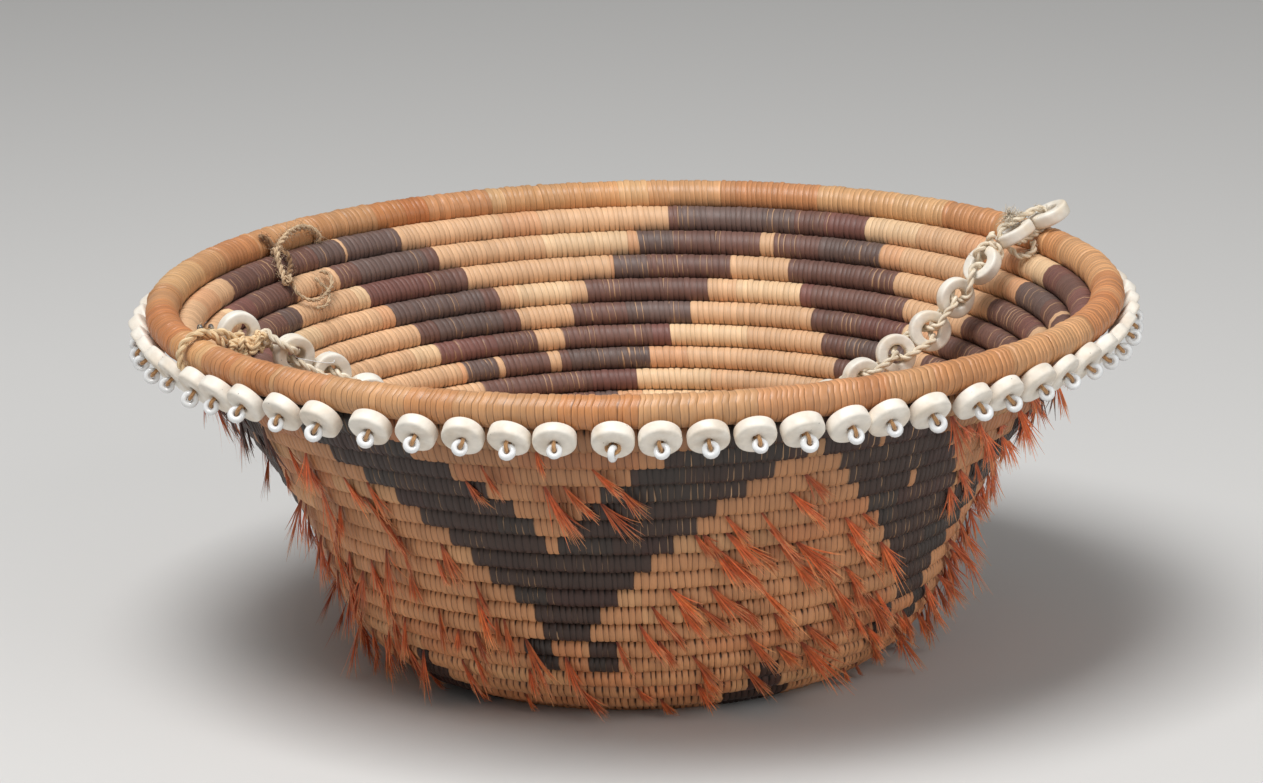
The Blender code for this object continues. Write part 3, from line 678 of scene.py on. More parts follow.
def wrapped_coil(coil, lean, draw, sharp=2.2, soft=2.3, bulge=COIL_BULGE, step=0.0, capped=False):
    """The stitched surface of one coil.

    Around it, each stitch has a groove at its edge and a crown between two flanks. Round its section the
    outline is a superellipse, squarer outside than inside, and the outer face is sheared by a step, so that
    it stands steeper than the wall. A point is the coil's middle line plus that outline, pushed out by the
    stitch's relief: minus the groove's depth, which grows towards the stitch's free end and is nothing where
    the coil meets its neighbours, plus the lap of its outer, lower end over the coil below. A capped coil
    has grooves of one depth all round, and no lap.
    """
    count = max(8, round(2.0 * math.pi * coil.out / STITCH_WIDTH))
    widths = np.clip(1.0 + WIDTH_SPREAD * draw.standard_normal(count), 0.62, 1.5)
    widths *= 2.0 * math.pi / widths.sum()
    edges = np.concatenate(((0.0,), np.cumsum(widths)[:-1]))
    azimuth = (edges[:, None] + widths[:, None] * STITCH_MARKS).ravel()
    relief = np.tile(STITCH_RELIEF, count)
    proud = per_mark(draw.normal(0.0, PROUD_SPREAD, count)) * (1.0 + relief)
    face = np.radians(RIM_ANGLES if capped else FACE_ANGLES)
    section = np.concatenate((face, face + math.pi))
    outside = np.cos(section) > 0.0
    slant = np.where(outside, OUTSIDE_SLANT, INSIDE_SLANT)
    slant = slant + per_mark(draw.normal(0.0, SLANT_SPREAD, (count, 1)))
    wide, tall = rounded(section, np.where(outside, sharp, soft))
    shut = 1.0 - smooth_step(*JOIN, np.abs(np.sin(section)))
    lower = smooth_step(0.45, 0.9, -np.sin(section)) * shut * outside
    free = np.where(outside, np.sin(section), -np.sin(section))
    ends = np.where(outside, END_DEPTH * smooth_step(0.1, 0.5, free),
                    INSIDE_END_DEPTH * smooth_step(0.5, 0.92, free))
    depth = (GROOVE_DEPTH + ends) * shut
    if capped:
        lower = np.zeros(len(section))
        depth = np.full(len(section), RIM_GROOVE_DEPTH)
        proud = RIM_PROUD * proud
    push = relief[:, None] * depth[None] + proud[:, None] + (1.0 + relief[:, None]) * STITCH_LAP * lower[None]
    swell = 1.0 + push / coil.radius
    across = wide * coil.radius * bulge * swell
    upwards = tall * (coil.radius + COIL_GAP / 2.0) * swell
    across -= step * upwards * outside
    out = coil.out + across * math.cos(lean) + upwards * math.sin(lean)
    height = np.maximum(coil.height - across * math.sin(lean) + upwards * math.cos(lean), 0.0)
    turned = np.degrees(azimuth[:, None] + slant * upwards / coil.out)
    tones = stitch_tones(coil.course, np.degrees(edges + widths / 2.0), draw)
    tone = np.tile(per_mark(tones)[:, None], (1, len(section), 1))
    if capped:
        stain = per_mark(runs(count, STAIN_RUN, draw) ** 3)
        tone[..., :3] *= 0.96 - stain[:, None, None] * RIM_STAIN
    else:
        dark = tones[:, :3].mean(axis=1, keepdims=True) < DYED_BELOW
        # Painted shade on the outer face, darker on the courses under the ring of discs.
        shaded = np.interp(coil.course, *SHADE_BY_COURSE)
        # Painted light: inside the bowl the dyed and tan stitches are drawn lighter.
        for side, tint in ((outside, np.where(dark, 1.0, OUTSIDE_TAN) * shaded),
                           (~outside, np.where(dark, INSIDE_DYED_PAINTED_LIGHT, INSIDE_TAN_PAINTED_LIGHT))):
            tone[:, side, :3] *= per_mark(tint)[:, None]
    row_marks = np.append((np.arange(count)[:, None] + STITCH_MARKS).ravel(), count)
    turns = section / (2.0 * math.pi)
    column_marks = np.append(turns, turns[0] + 1.0)
    return Grid(around(turned, out, height), True, True, row_marks, column_marks, tone.reshape(-1, 4))


def build_coils(finish, rim_finish):
    """Every coil of the basket as its own stitched piece."""

    def add_coil(name, node, grid, made_of=finish):
        """A coil's piece, in place of its node."""
        add_piece(name, [grid], made_of, [node], weld=False)

    coils = wall_coils()
    for number, coil in enumerate(coils):
        draw = np.random.default_rng(100 + number)
        if number == 0:
            add_coil("rim_wraps", "rim_coil", wrapped_coil(coil, coil.lean, draw, 2.1, 2.1, 1.0, capped=True),
                     rim_finish)
        elif number < WALL_TURNS:
            sharp = np.interp(coil.course, *OUTLINE_BY_COURSE)
            step = np.interp(coil.course, *STEP_BY_COURSE)
            grid = wrapped_coil(coil, (coil.lean + coils[number + 1].lean) / 2.0, draw, sharp, step=step)
            add_coil("wall_stitches_%02d" % (number + 1), "wall_coil_%02d" % (number + 1), grid)
        else:
            grid = wrapped_coil(coil, math.radians(FOOT_LEAN), draw, bulge=1.0)
            add_coil("foot_stitches", "foot_coil", grid)
    turns, inner = base_coils(coils[-1])
    for number, coil in enumerate(turns):
        grid = wrapped_coil(coil, coil.lean, np.random.default_rng(200 + number), bulge=1.0)
        add_coil("base_stitches_%d" % (number + 1), "base_coil_%d" % (number + 1), grid)
    build_start_knot(inner - COIL_GAP, finish)
    return coils


def build_start_knot(edge, finish):
    """The start of the base: one tight stitched turn round a small knot, a dome with wraps across it.

    The dome's rows go round it and its columns up a superellipse, with every fifth row drawn in a little.
    """
    turn = base_coil(edge - BASE_COIL_RADIUS, KNOT_COURSE)
    ring = wrapped_coil(turn, turn.lean, np.random.default_rng(300), bulge=1.0)
    core = edge - 2.0 * BASE_COIL_RADIUS + 0.0004
    sides = 40
    levels = 13
    azimuth = np.arange(sides) * 360.0 / sides
    ribs = 1.0 - 0.05 * (np.arange(sides) % 5 == 0)
    wide, tall = rounded(np.linspace(-0.5 * math.pi, 0.5 * math.pi, levels), 2.6)
    out = core * wide[None] * ribs[:, None]
    middle = BASE_COIL_RADIUS + START_KNOT_CROWN / 2.0
    height = middle + tall[None] * (middle - 0.0002) * np.ones((sides, 1))
    dome = Grid(around(azimuth[:, None], out, height), True, False, np.arange(sides + 1.0) / 5.0,
                np.linspace(-0.2, 0.2, levels), np.append(TAN * 0.9, 0.0)[None])
    add_piece("start_knot_wraps", [ring, dome], finish, ["start_knot"])


def rings(middles, axes, angle, out, height):
    """Closed rings: middle + out (cos a side + sin a other) + height face, the axes being those three."""
    side, other, face = [axis[:, None, None] for axis in axes]
    ray = np.cos(angle) * side + np.sin(angle) * other
    return Grid(middles[:, None, None] + out * ray + height * face, True, True)


def bored_discs(middles, faces, ups, radius, hole, half, draw, sides=32, loops=16):
    """Bored discs, one copy for each middle.

    Round the disc the outline is a circle with a slight wave of two and three lobes. The section from hole to
    edge is a rounded rectangle, a superellipse of exponent 5.
    """
    count = len(middles)
    radius = np.broadcast_to(radius, count)[:, None, None]
    half = np.broadcast_to(half, count)[:, None, None]
    angle = circle(sides)[None, :, None]
    wide, tall = rounded(circle(loops)[None, None, :] + math.pi / loops, 5.0)
    phase = draw.random((4, count, 1, 1)) * 2.0 * math.pi
    wave = DISC_WAVE * np.cos(2.0 * angle + phase[0]) + 0.6 * DISC_WAVE * np.cos(3.0 * angle + phase[1])
    edge = radius * (1.0 + wave)
    out = (edge + hole) / 2.0 + (edge - hole) / 2.0 * wide
    height = half * tall * (1.0 + 0.05 * np.cos(angle + phase[2]))
    side = unit(np.cross(ups, faces))
    axes = (side, unit(np.cross(faces, side)), faces)
    return rings(middles, axes, angle[..., None], out[..., None], height[..., None])


def string_disc(middle, face, up, radius, half, draw):
    """One bored disc of the size that the string and its ties have."""
    hole = STRING_DISC_HOLE_RADIUS
    return bored_discs(middle[None], face[None], up[None], radius, hole, half, draw, 48, 20)


def ring_azimuths():
    """The front discs' azimuths, and the back ones spread evenly over the rest."""
    rest = 360.0 + RING_FRONT[0] - RING_FRONT[-1]
    back = [RING_FRONT[-1] + rest * (n + 1) / (RING_BACK_COUNT + 1) for n in range(RING_BACK_COUNT)]
    return np.array(list(RING_FRONT) + back)


def bend(starts, bends, ends, steps):
    """Quadratic curves: (1 - t)^2 start + 2 t (1 - t) bend + t^2 end, one for each row of the three."""
    t = np.linspace(0.0, 1.0, steps)[None, :, None]
    return (1.0 - t) ** 2 * starts[:, None] + 2.0 * t * (1.0 - t) * bends[:, None] + t * t * ends[:, None]


def swept(paths, side, other, radius, sides, marks=None):
    """Tubes round paths: path + radius (cos a side - sin a other). Each end is drawn in to a point."""
    paths, side, other = [np.concatenate((part[:, :1], part, part[:, -1:]), axis=1)[:, :, None]
                          for part in (paths, side, other)]
    girth = np.full((paths.shape[1], 1, 1), radius)
    girth[[0, -1]] = 0.0
    angle = circle(sides)[:, None]
    return Grid(paths + girth * (np.cos(angle) * side - np.sin(angle) * other), False, True, marks)


def tubes(paths, radius, reference, sides=8):
    """Tubes round many short paths, with their sides square to a reference."""
    along = unit(np.gradient(paths, axis=1))
    side = unit(np.cross(along, reference[:, None]))
    return swept(paths, side, np.cross(along, side), radius, sides)


def build_bead_ring(rim, shell, glass, thread):
    """The sewn discs, their glass beads on loops of thread, and the thread that sews them on.

    Each bead stands on its edge at the disc's hole, and the loop through its own hole holds it there.
    """
    draw = np.random.default_rng(11)
    azimuth = ring_azimuths()
    count = len(azimuth)
    half = RING_DISC_THICKNESS / 2.0
    droop = math.radians(RING_DISC_DROOP)
    off_rim = rim.radius + RING_DISC_CLEARANCE + half
    reach = (off_rim - RING_DISC_DROP * math.sin(droop)) / math.cos(droop)
    outwards = around(azimuth, 1.0, 0.0)
    middles = outwards * (rim.out + reach) + UP * (rim.height - RING_DISC_DROP)
    faces = outwards * math.cos(droop) - UP * math.sin(droop)
    sideways = np.cross(UP, outwards)
    faces = faces + sideways * draw.normal(0.0, RING_TURN_SPREAD[0], (count, 1))
    faces = unit(faces + UP * draw.normal(0.0, RING_TURN_SPREAD[1], (count, 1)))
    ups = unit(np.cross(faces, sideways))
    ups = ups * np.sign(ups[:, 2:3])
    radius = RING_DISC_RADIUS * (1.0 + draw.normal(0.0, RING_SIZE_SPREAD[0], count))
    halves = half * (1.0 + draw.normal(0.0, RING_SIZE_SPREAD[1], count))
    discs = bored_discs(middles, faces, ups, radius, RING_HOLE_RADIUS, halves, draw)
    add_piece("ring_discs", [discs], shell, ["shell_disc_ring"])

    swing = -np.clip(from_front(azimuth), -70.0, 70.0) + draw.normal(0.0, BEAD_TURN_SPREAD, count)
    swing[EDGE_ON_BEAD] += EDGE_ON_TURN
    swing = np.radians(swing)[:, None]
    looks = np.cos(swing) * ups + np.sin(swing) * sideways + faces * draw.normal(*BEAD_LEAN, (count, 1))
    looks = unit(looks)
    size = GLASS_BEAD_RADIUS * (1.0 + draw.normal(0.0, BEAD_SIZE_SPREAD, count))
    holes = middles + faces * halves[:, None]
    beads = holes + faces * (size[:, None] - 0.0001)
    beads = beads + np.cross(looks, faces) * draw.normal(*BEAD_ASIDE, (count, 1))
    add_piece("glass_beads", [glass_rings(beads, looks, size)], glass)

    deep = holes - faces * BEAD_LOOP_DEPTH
    threads = []
    for way in (looks, -looks):
        knee = (holes + beads) / 2.0 + way * BEAD_LOOP_REACH
        threads.append(tubes(bend(deep + way * 0.0002, knee, beads, 9), BEAD_LOOP_RADIUS, sideways))
    backs = middles - faces * (halves[:, None] - 0.0010)
    anchors = outwards * (rim.out + 0.0020) + UP * (rim.height - rim.radius - 0.0010)
    threads.append(tubes(bend(backs, (backs + anchors) / 2.0, anchors, 5), SEWING_RADIUS, sideways))
    add_piece("bead_thread", threads, thread)


def glass_rings(middles, looks, radius):
    """Seed beads: rings whose section is a circle about a third of the bead's radius, stretched a little."""
    side = unit(np.cross(looks, UP + 0.01))
    angle = circle(16)[None, :, None, None]
    turn = circle(10)[None, None, :, None]
    radius = radius[:, None, None, None]
    out = radius * (0.64 + 0.36 * np.cos(turn))
    height = radius * 0.40 * np.sin(turn)
    return rings(middles, (side, np.cross(looks, side), looks), angle, out, height)


def distances(path):
    """How far along a path each of its points is."""
    return np.concatenate(((0.0,), np.cumsum(np.linalg.norm(np.diff(path, axis=0), axis=1))))


def read_along(path, distance, wanted):
    """The points of a path at the wanted distances along it."""
    return np.stack([np.interp(wanted, distance, path[:, axis]) for axis in range(3)], axis=-1)


def smooth_curve(knots, spacing=PATH_SPACING):
    """A Catmull-Rom curve through the knots, read at points about a spacing apart."""
    knots = np.asarray(knots, dtype=float)
    before = np.concatenate((knots[:1], knots[:-1]))[:-1]
    start = knots[:-1]
    end = knots[1:]
    after = np.concatenate((knots[2:], knots[-1:]))
    t = (np.arange(CURVE_STEPS) / CURVE_STEPS)[None, :, None]
    bends = (2.0 * before - 5.0 * start + 4.0 * end - after)[:, None]
    twists = (3.0 * start - before - 3.0 * end + after)[:, None]
    fine = (2.0 * start[:, None] + (end - before)[:, None] * t + bends * t ** 2 + twists * t ** 3) / 2.0
    fine = np.concatenate((fine.reshape(-1, 3), knots[-1:]))
    distance = distances(fine)
    count = max(4, round(distance[-1] / spacing))
    return read_along(fine, distance, np.linspace(0.0, distance[-1], count + 1))


def carried_frame(path):
    """Two directions square to a path that turn with it as little as they can."""
    along = unit(np.gradient(path, axis=0))
    side = np.empty_like(path)
    side[0] = unit(np.cross(along[0], UP if abs(along[0, 2]) < 0.8 else np.array((1.0, 0.0, 0.0))))
    for step in range(1, len(path)):
        side[step] = unit(side[step - 1] - along[step] * np.dot(side[step - 1], along[step]))
    return side, np.cross(along, side)


def plain_tube(path, radius, sides=9):
    """A tube round one path, marked by the millimetre."""
    side, other = carried_frame(path)
    marks = np.pad(distances(path), 1, mode="edge") * 1000.0
    return swept(path[None], side[None], other[None], radius, sides, marks)


def twisted_cord(path, radius, pitch):
    """Plies wound round a path.

    Ply j lies at path + h (cos w side + sin w other), where h is a share of the cord's radius and
    w = 2 pi (s / pitch + j / PLIES) at a distance s along the path.
    """
    side, other = carried_frame(path)
    grids = []
    for ply in range(PLIES):
        turn = 2.0 * math.pi * (distances(path) / pitch + ply / PLIES)[:, None]
        line = path + PLY_OFFSET * radius * (np.cos(turn) * side + np.sin(turn) * other)
        grids.append(plain_tube(line, PLY_RADIUS * radius))
    return grids


def fuzz(path, radius, count, length, draw):
    """Stray fibres: thin curved tubes that start on a cord and stand off it."""
    pick = draw.integers(0, len(path) - 1, count)
    along = unit(np.gradient(path, axis=0))[pick]
    off = unit(np.cross(along, draw.standard_normal((count, 3))))
    starts = path[pick] + off * radius * 0.7
    reach = length * (0.4 + 0.9 * draw.random((count, 1)))
    way = off * 0.8 + along * draw.choice((-1.0, 1.0), (count, 1)) + 0.3 * draw.standard_normal((count, 3))
    ends = starts + reach * unit(way)
    middles = (starts + ends) / 2.0 + off * reach * 0.25
    return tubes(bend(starts, middles, ends, 5), FIBRE_RADIUS, unit(draw.standard_normal((count, 3))), 3)


def hairy_cord(path, radius, pitch, hairs, reach, draw, bare=0):
    """A twisted cord with stray fibres on it, but for its first points."""
    return twisted_cord(path, radius, pitch) + [fuzz(path[bare:], radius, hairs, reach, draw)]


class StringPlane:
    """The upright plane that the string hangs in. Its heights are above the middle of the rim coil."""

    def __init__(self, rim):
        self.start = around(STRING_LEFT_AZIMUTH, rim.out - STRING_LEFT_INSET, rim.height)
        across = around(STRING_RIGHT_AZIMUTH, rim.out, rim.height) - self.start
        self.length = np.linalg.norm(across)
        self.along = across / self.length
        self.sideways = np.cross(self.along, UP)

    def point(self, distance, height, aside=0.0):
        """The start, plus a distance along the plane, a height and a distance to the side of it."""
        return self.start + self.along * distance + UP * height + self.sideways * aside

    def points(self, spots):
        """The points of spots measured from the left end."""
        return [self.point(*spot) for spot in spots]

    def points_back(self, spots):
        """The points of spots measured from the right end."""
        return [self.point(self.length - back, *rest) for back, *rest in spots]

    def string_route(self):
        """The string's sagging line, from the left tie to the right one."""
        return self.points(ROUTE_FROM_LEFT) + self.points_back(ROUTE_FROM_RIGHT)


def turned_about(vector, axis, degrees):
    """A vector turned about an axis: v cos a + (axis x v) sin a + axis (axis . v) (1 - cos a)."""
    turn = math.radians(degrees)
    turned = vector * math.cos(turn) + np.cross(axis, vector) * math.sin(turn)
    return turned + axis * np.dot(axis, vector) * (1.0 - math.cos(turn))


def string_discs(plane, curve):
    """Each disc on the string: its middle, the way that its face looks, and the string's direction."""
    distance = distances(curve)
    span = distance[-1] - LAST_DISC_AT - FIRST_DISC_AT
    steps = round(span / STRING_DISC_STEP)
    discs = []
    for number in range(steps + 1):
        place = FIRST_DISC_AT + span * number / steps
        before, middle, after = read_along(curve, distance, place + np.array((-0.0002, 0.0, 0.0002)))
        way = unit(after - before)
        face = plane.sideways
        if number == steps:
            face = turned_about(face, way, -LAST_DISC_ROLL)
        discs.append((middle, face, way))
    return discs


def strand_path(route, discs, side, apart_by):
    """One strand's weave: through each disc's hole and over the faces on alternate sides in between.

    The other strand has the opposite side, and each keeps to its own half of the holes.
    """
    offset = STRING_DISC_THICKNESS / 2.0 + CORD_CLEARANCE + CORD_RADIUS
    sixth = np.linalg.norm(discs[1][0] - discs[0][0]) / 6.0
    past_edge = STRING_DISC_RADIUS + CORD_CLEARANCE
    start = route[0]
    end = route[-1]
    swing = unit(end - start)
    lead = swing * CORD_LEAD
    end_shift = unit(np.cross(discs[0][1], swing)) * apart_by
    points = [start + end_shift, start + lead + end_shift]
    for back in (past_edge, sixth):
        points.append(discs[0][0] - discs[0][2] * back - discs[0][1] * side * offset + end_shift)
    for number, (middle, face, way) in enumerate(discs):
        shift = unit(np.cross(face, way)) * apart_by
        points.append(middle + shift)
        points.append(middle + way * sixth + face * side * offset + shift)
        if number < len(discs) - 1:
            beyond, next_face, next_way = discs[number + 1]
            next_shift = unit(np.cross(next_face, next_way)) * apart_by
            corner = (face + next_face) / (1.0 + face.dot(next_face))
            points.append((middle + beyond) / 2.0 + corner * side * offset + (shift + next_shift) / 2.0)
            points.append(beyond - next_way * sixth + next_face * side * offset + next_shift)
        else:
            points.append(middle + way * past_edge + face * side * offset * 0.5 + shift)
        side = -side
    return smooth_curve(points + [end - lead + end_shift, end + end_shift], 0.0004)


def build_string(plane, cord, shell, glass):
    """The swinging string: twenty bored discs and the two strands that weave over and through them."""
    route = plane.string_route()
    discs = string_discs(plane, smooth_curve(route, 0.0002))
    draw = np.random.default_rng(21)
    for number, (middle, face, way) in enumerate(discs):
        looks = turned_about(face, way, draw.normal(0.0, TWIST_SPREAD))
        looks = unit(looks + way * draw.normal(0.0, LEAN_SPREAD))
        radius = STRING_DISC_RADIUS * (1.0 + draw.normal(*DISC_SIZE))
        half = STRING_DISC_THICKNESS / 2.0 * (1.0 + draw.normal(0.0, DISC_DEPTH_SPREAD))
        grid = string_disc(middle, looks, way, radius, half, draw)
        add_piece("string_shell_%02d" % (number + 1), [grid], shell,
                                ["string_disc_%02d" % (number + 1)], "string")
    side = 1.0 if len(discs) % 2 else -1.0
    for name, way, apart_by, nodes in (("string_strand_a", side, STRAND_APART, ["string_cord"]),
                                       ("string_strand_b", -side, -STRAND_APART, [])):
        path = strand_path(route, discs, way, apart_by)
        grids = twisted_cord(path, STRAND_RADIUS, STRAND_PITCH)
        strand = add_piece(name, grids, cord, nodes, "string")
        if nodes:
            hairs = fuzz(path, STRAND_RADIUS, 130, FIBRE_LENGTH, draw)
            add_piece("string_fibres", [hairs], cord, body="string")
    over = plane.sideways * (STRING_DISC_THICKNESS / 2.0 + CORD_CLEARANCE)
    first, second = discs[0][0], discs[1][0]
    clear = [first, first + over + discs[0][2] * 0.001, second + over + UP * 0.003, second + UP * 0.0052]
    filament = plain_tube(smooth_curve(clear, 0.0006), FILAMENT_RADIUS, 5)
    add_piece("clear_filament", [filament], glass, body="string")


def overhand_knot(middle, way, radius, turn):
    """A knot's line: a trefoil, x = sin t + 2 sin 2t, y = cos t - 2 cos 2t, z = -sin 3t, laid across a cord.

    It is scaled to its radius, stretched a little along the cord and turned about it.
    """
    side = turned_about(unit(np.cross(way, UP)), way, turn)
    other = np.cross(way, side)
    t = np.linspace(0.0, 2.0 * math.pi, 90)[:, None]
    wide = (np.sin(t) + 2.0 * np.sin(2.0 * t)) / 3.0
    tall = (np.cos(t) - 2.0 * np.cos(2.0 * t)) / 3.0
    deep = -np.sin(3.0 * t) / 3.0
    return middle + radius * (wide * way * 1.15 + tall * side + 2.0 * deep * other)


def build_left_tie(plane, rim, cord, shell, glass, thread):
    """The loop over the rim with its two dark beads, the lump of knots, and the disc behind them."""
    draw = np.random.default_rng(31)
    knot_start = plane.point(*KNOT_START)
    knot_end = plane.string_route()[0] - plane.along * TIE_GAP
    way = unit(knot_end - knot_start)
    reach = rim.radius + LEFT_TIE_CLEARANCE + TIE_CORD_RADIUS
    turns = np.radians(LEFT_TIE_BENDS)
    loop = list(around(LEFT_TIE_AZIMUTH, rim.out + reach * np.cos(turns), rim.height + reach * np.sin(turns)))
    loop += [knot_start - way * 3.0 * TIE_CORD_RADIUS, knot_start + way * TIE_CORD_RADIUS]
    grids = hairy_cord(smooth_curve(loop), TIE_CORD_RADIUS, TIE_PITCH, 40, FIBRE_LENGTH, draw)
    add_piece("left_tie_cord", grids, cord, ["left_tie_loop"])

    grids = []
    for share, grip, turn, drop in KNOTS:
        middle = knot_start + (knot_end - knot_start) * share - UP * drop
        line = overhand_knot(middle, way, KNOT_RADIUS * grip, turn)
        grids += hairy_cord(line, KNOT_CORD_RADIUS, TIGHT_PITCH, 26, SHORT_FIBRE_LENGTH, draw)
    core = smooth_curve([knot_start - way * 0.001, (knot_start + knot_end) / 2.0, knot_end], 0.0004)
    grids += twisted_cord(core, TIE_CORD_RADIUS, CORE_PITCH)
    add_piece("left_knot_cord", grids, cord, ["left_knot"])

    spots = np.array(plane.points(LEFT_GLASS))
    beads = glass_rings(spots, np.tile(plane.along, (2, 1)), np.full(2, LEFT_GLASS_RADIUS))
    add_piece("dark_beads", [beads], glass)
    first, last = plane.points(GLASS_THREAD_ENDS)
    held = plain_tube(smooth_curve([first, *spots, last], 0.0004), 0.0002, 6)
    wrap = twisted_cord(smooth_curve(plane.points(LEFT_WRAP)), CORD_RADIUS, TIGHT_PITCH)
    add_piece("tie_wraps", [*wrap, held], thread)

    half = STRING_DISC_THICKNESS / 2.0
    middle = plane.point(*LEFT_DISC_AT) - plane.sideways * (KNOT_RADIUS + TIE_GAP + half)
    grid = string_disc(middle, plane.sideways, UP, STRING_DISC_RADIUS, half, draw)
    add_piece("left_tie_shell", [grid], shell, ["left_tie_disc"])
    front = middle + plane.sideways * (half + CORD_CLEARANCE)
    strand = [*plane.points(DISC_STRAND_START), front - plane.along * 0.0026 + plane.sideways * 0.0006,
              front - plane.along * 0.0004, middle]
    grids = twisted_cord(smooth_curve(strand), STRAND_RADIUS, DISC_STRAND_PITCH)
    add_piece("left_disc_strand", grids, cord)


def build_right_tie(plane, rim, cord, shell):
    """The two discs that lie on the rim, and the cord that runs over them and into the outer one."""
    draw = np.random.default_rng(41)
    tilt = math.radians(RIM_DISC_TILT)
    face = UP * math.cos(tilt) - plane.along * math.sin(tilt)
    slope = plane.along * math.cos(tilt) + UP * math.sin(tilt)
    half = STRING_DISC_THICKNESS / 2.0
    rest = plane.point(plane.length, 0.0) + face * (rim.radius + RIM_DISC_CLEARANCE + half)
    outer = rest + slope * RIM_DISC_SHIFT
    inner = outer - slope * (2.0 * STRING_DISC_RADIUS + TIE_GAP)
    overs = []
    for name, node, middle, roll in (("rim_shell_outer", "rim_disc_outer", outer, OUTER_SHELL_ROLL),
                                     ("rim_shell_inner", "rim_disc_inner", inner, INNER_SHELL_ROLL)):
        # In place, so that outer and inner, which the cord follows, move with their discs.
        middle += face * (STRING_DISC_RADIUS * math.sin(math.radians(roll)) * 0.7)
        looks = turned_about(face, slope, -roll)
        overs.append(looks * (half + CORD_CLEARANCE + CORD_RADIUS))
        grid = string_disc(middle, looks, slope, STRING_DISC_RADIUS, half, draw)
        add_piece(name, [grid], shell, [node])
    over_outer, over_inner = overs
    start = plane.string_route()[-1] + plane.along * 2.6 * TIE_GAP
    onto_disc = inner - slope * STRING_DISC_RADIUS * 0.55 + over_inner
    into_hole = outer - slope * STRING_DISC_HOLE_RADIUS * 0.8 + over_outer * 0.9
    route = [start, start + plane.along * CORD_LEAD / 2.0, onto_disc, inner + over_inner,
             (inner + outer + over_inner + over_outer) / 2.0, into_hole, outer]
    grids = hairy_cord(smooth_curve(route), STRAND_RADIUS, STRAND_PITCH, 60, FIBRE_LENGTH, draw, 20)
    for spots, hairs, reach in ((LOOSE_LOOP, 24, SHORT_FIBRE_LENGTH), (FRAYED_END, 140, 0.0023)):
        loose = smooth_curve(plane.points_back(spots))
        grids += hairy_cord(loose, CORD_RADIUS, LOOSE_PITCH, hairs, reach, draw, len(loose) // 2)
    under = -face * (half + CORD_RADIUS * 1.2)
    lower = [outer, outer + under * 0.6 - slope * 0.0012, (inner + outer) / 2.0 + under,
             inner + under + slope * 0.001,
             inner + under * 0.6 - slope * STRING_DISC_HOLE_RADIUS * 0.3, inner]
    grids += twisted_cord(smooth_curve(lower), CORD_RADIUS, TIGHT_PITCH)
    add_piece("right_tie_strands", grids, cord, ["right_tie_cord"])


def build_twine(coils, twine, brown):
    """Old twine on the rim's inner side: an arch, a brown strand beside it, a knot and two curled tails."""
    draw = np.random.default_rng(51)
    rim = coils[0]

    def on_rim(spots):
        """Points round the rim coil's section: its middle plus a reach at each spot's angle."""
        turn, angle, off = np.transpose(spots)
        reach = rim.radius + TWINE_RADIUS * (1.0 + off)
        bearing = np.radians(angle)
        return list(around(TWINE_AZIMUTH + turn, rim.out + reach * np.cos(bearing),
                           rim.height + reach * np.sin(bearing)))

    def on_wall(spots):
        """Points on the wall's inner face: the coils' middles, blended, plus a reach square to the wall."""
        found = []
        for turn, down, off in spots:
            above = coils[int(down)]
            below = coils[int(down) + 1]
            part = down - int(down)
            reach = above.radius * COIL_BULGE + TWINE_RADIUS * (1.0 + off)
            out = above.out + (below.out - above.out) * part - reach * math.cos(below.lean)
            height = above.height + (below.height - above.height) * part + reach * math.sin(below.lean)
            found.append(around(TWINE_AZIMUTH + turn, out, height))
        return found

    def twined(spots, radius, hairs, reach):
        """A hairy cord on a curve through the spots."""
        return hairy_cord(smooth_curve(spots), radius, TIGHT_PITCH, hairs, reach, draw)

    round_rim = around(TWINE_AZIMUTH + 90.0, 1.0, 0.0)
    grids = twined(on_rim(TWINE_ARCH) + on_wall(TWINE_DOWN), ARCH_RADIUS, 170, 0.0020)
    grids += twined(on_wall(TWINE_CURL), CURL_RADIUS, 50, SHORT_FIBRE_LENGTH)
    grids += twined(on_wall(TWINE_TAIL), TAIL_RADIUS, 30, SHORT_FIBRE_LENGTH)
    knot = overhand_knot(on_wall([TWINE_KNOT])[0], round_rim, TWINE_KNOT_RADIUS, TWINE_KNOT_TURN)
    grids += twined(knot, CURL_RADIUS, 20, 0.0012)
    add_piece("old_twine_loop", grids, twine, ["twine_loop"])
    grids = twined(on_rim(BROWN_ON_RIM) + on_wall(BROWN_DOWN), BROWN_RADIUS, 60, FIBRE_LENGTH)
    add_piece("brown_twine_strand", grids, brown)


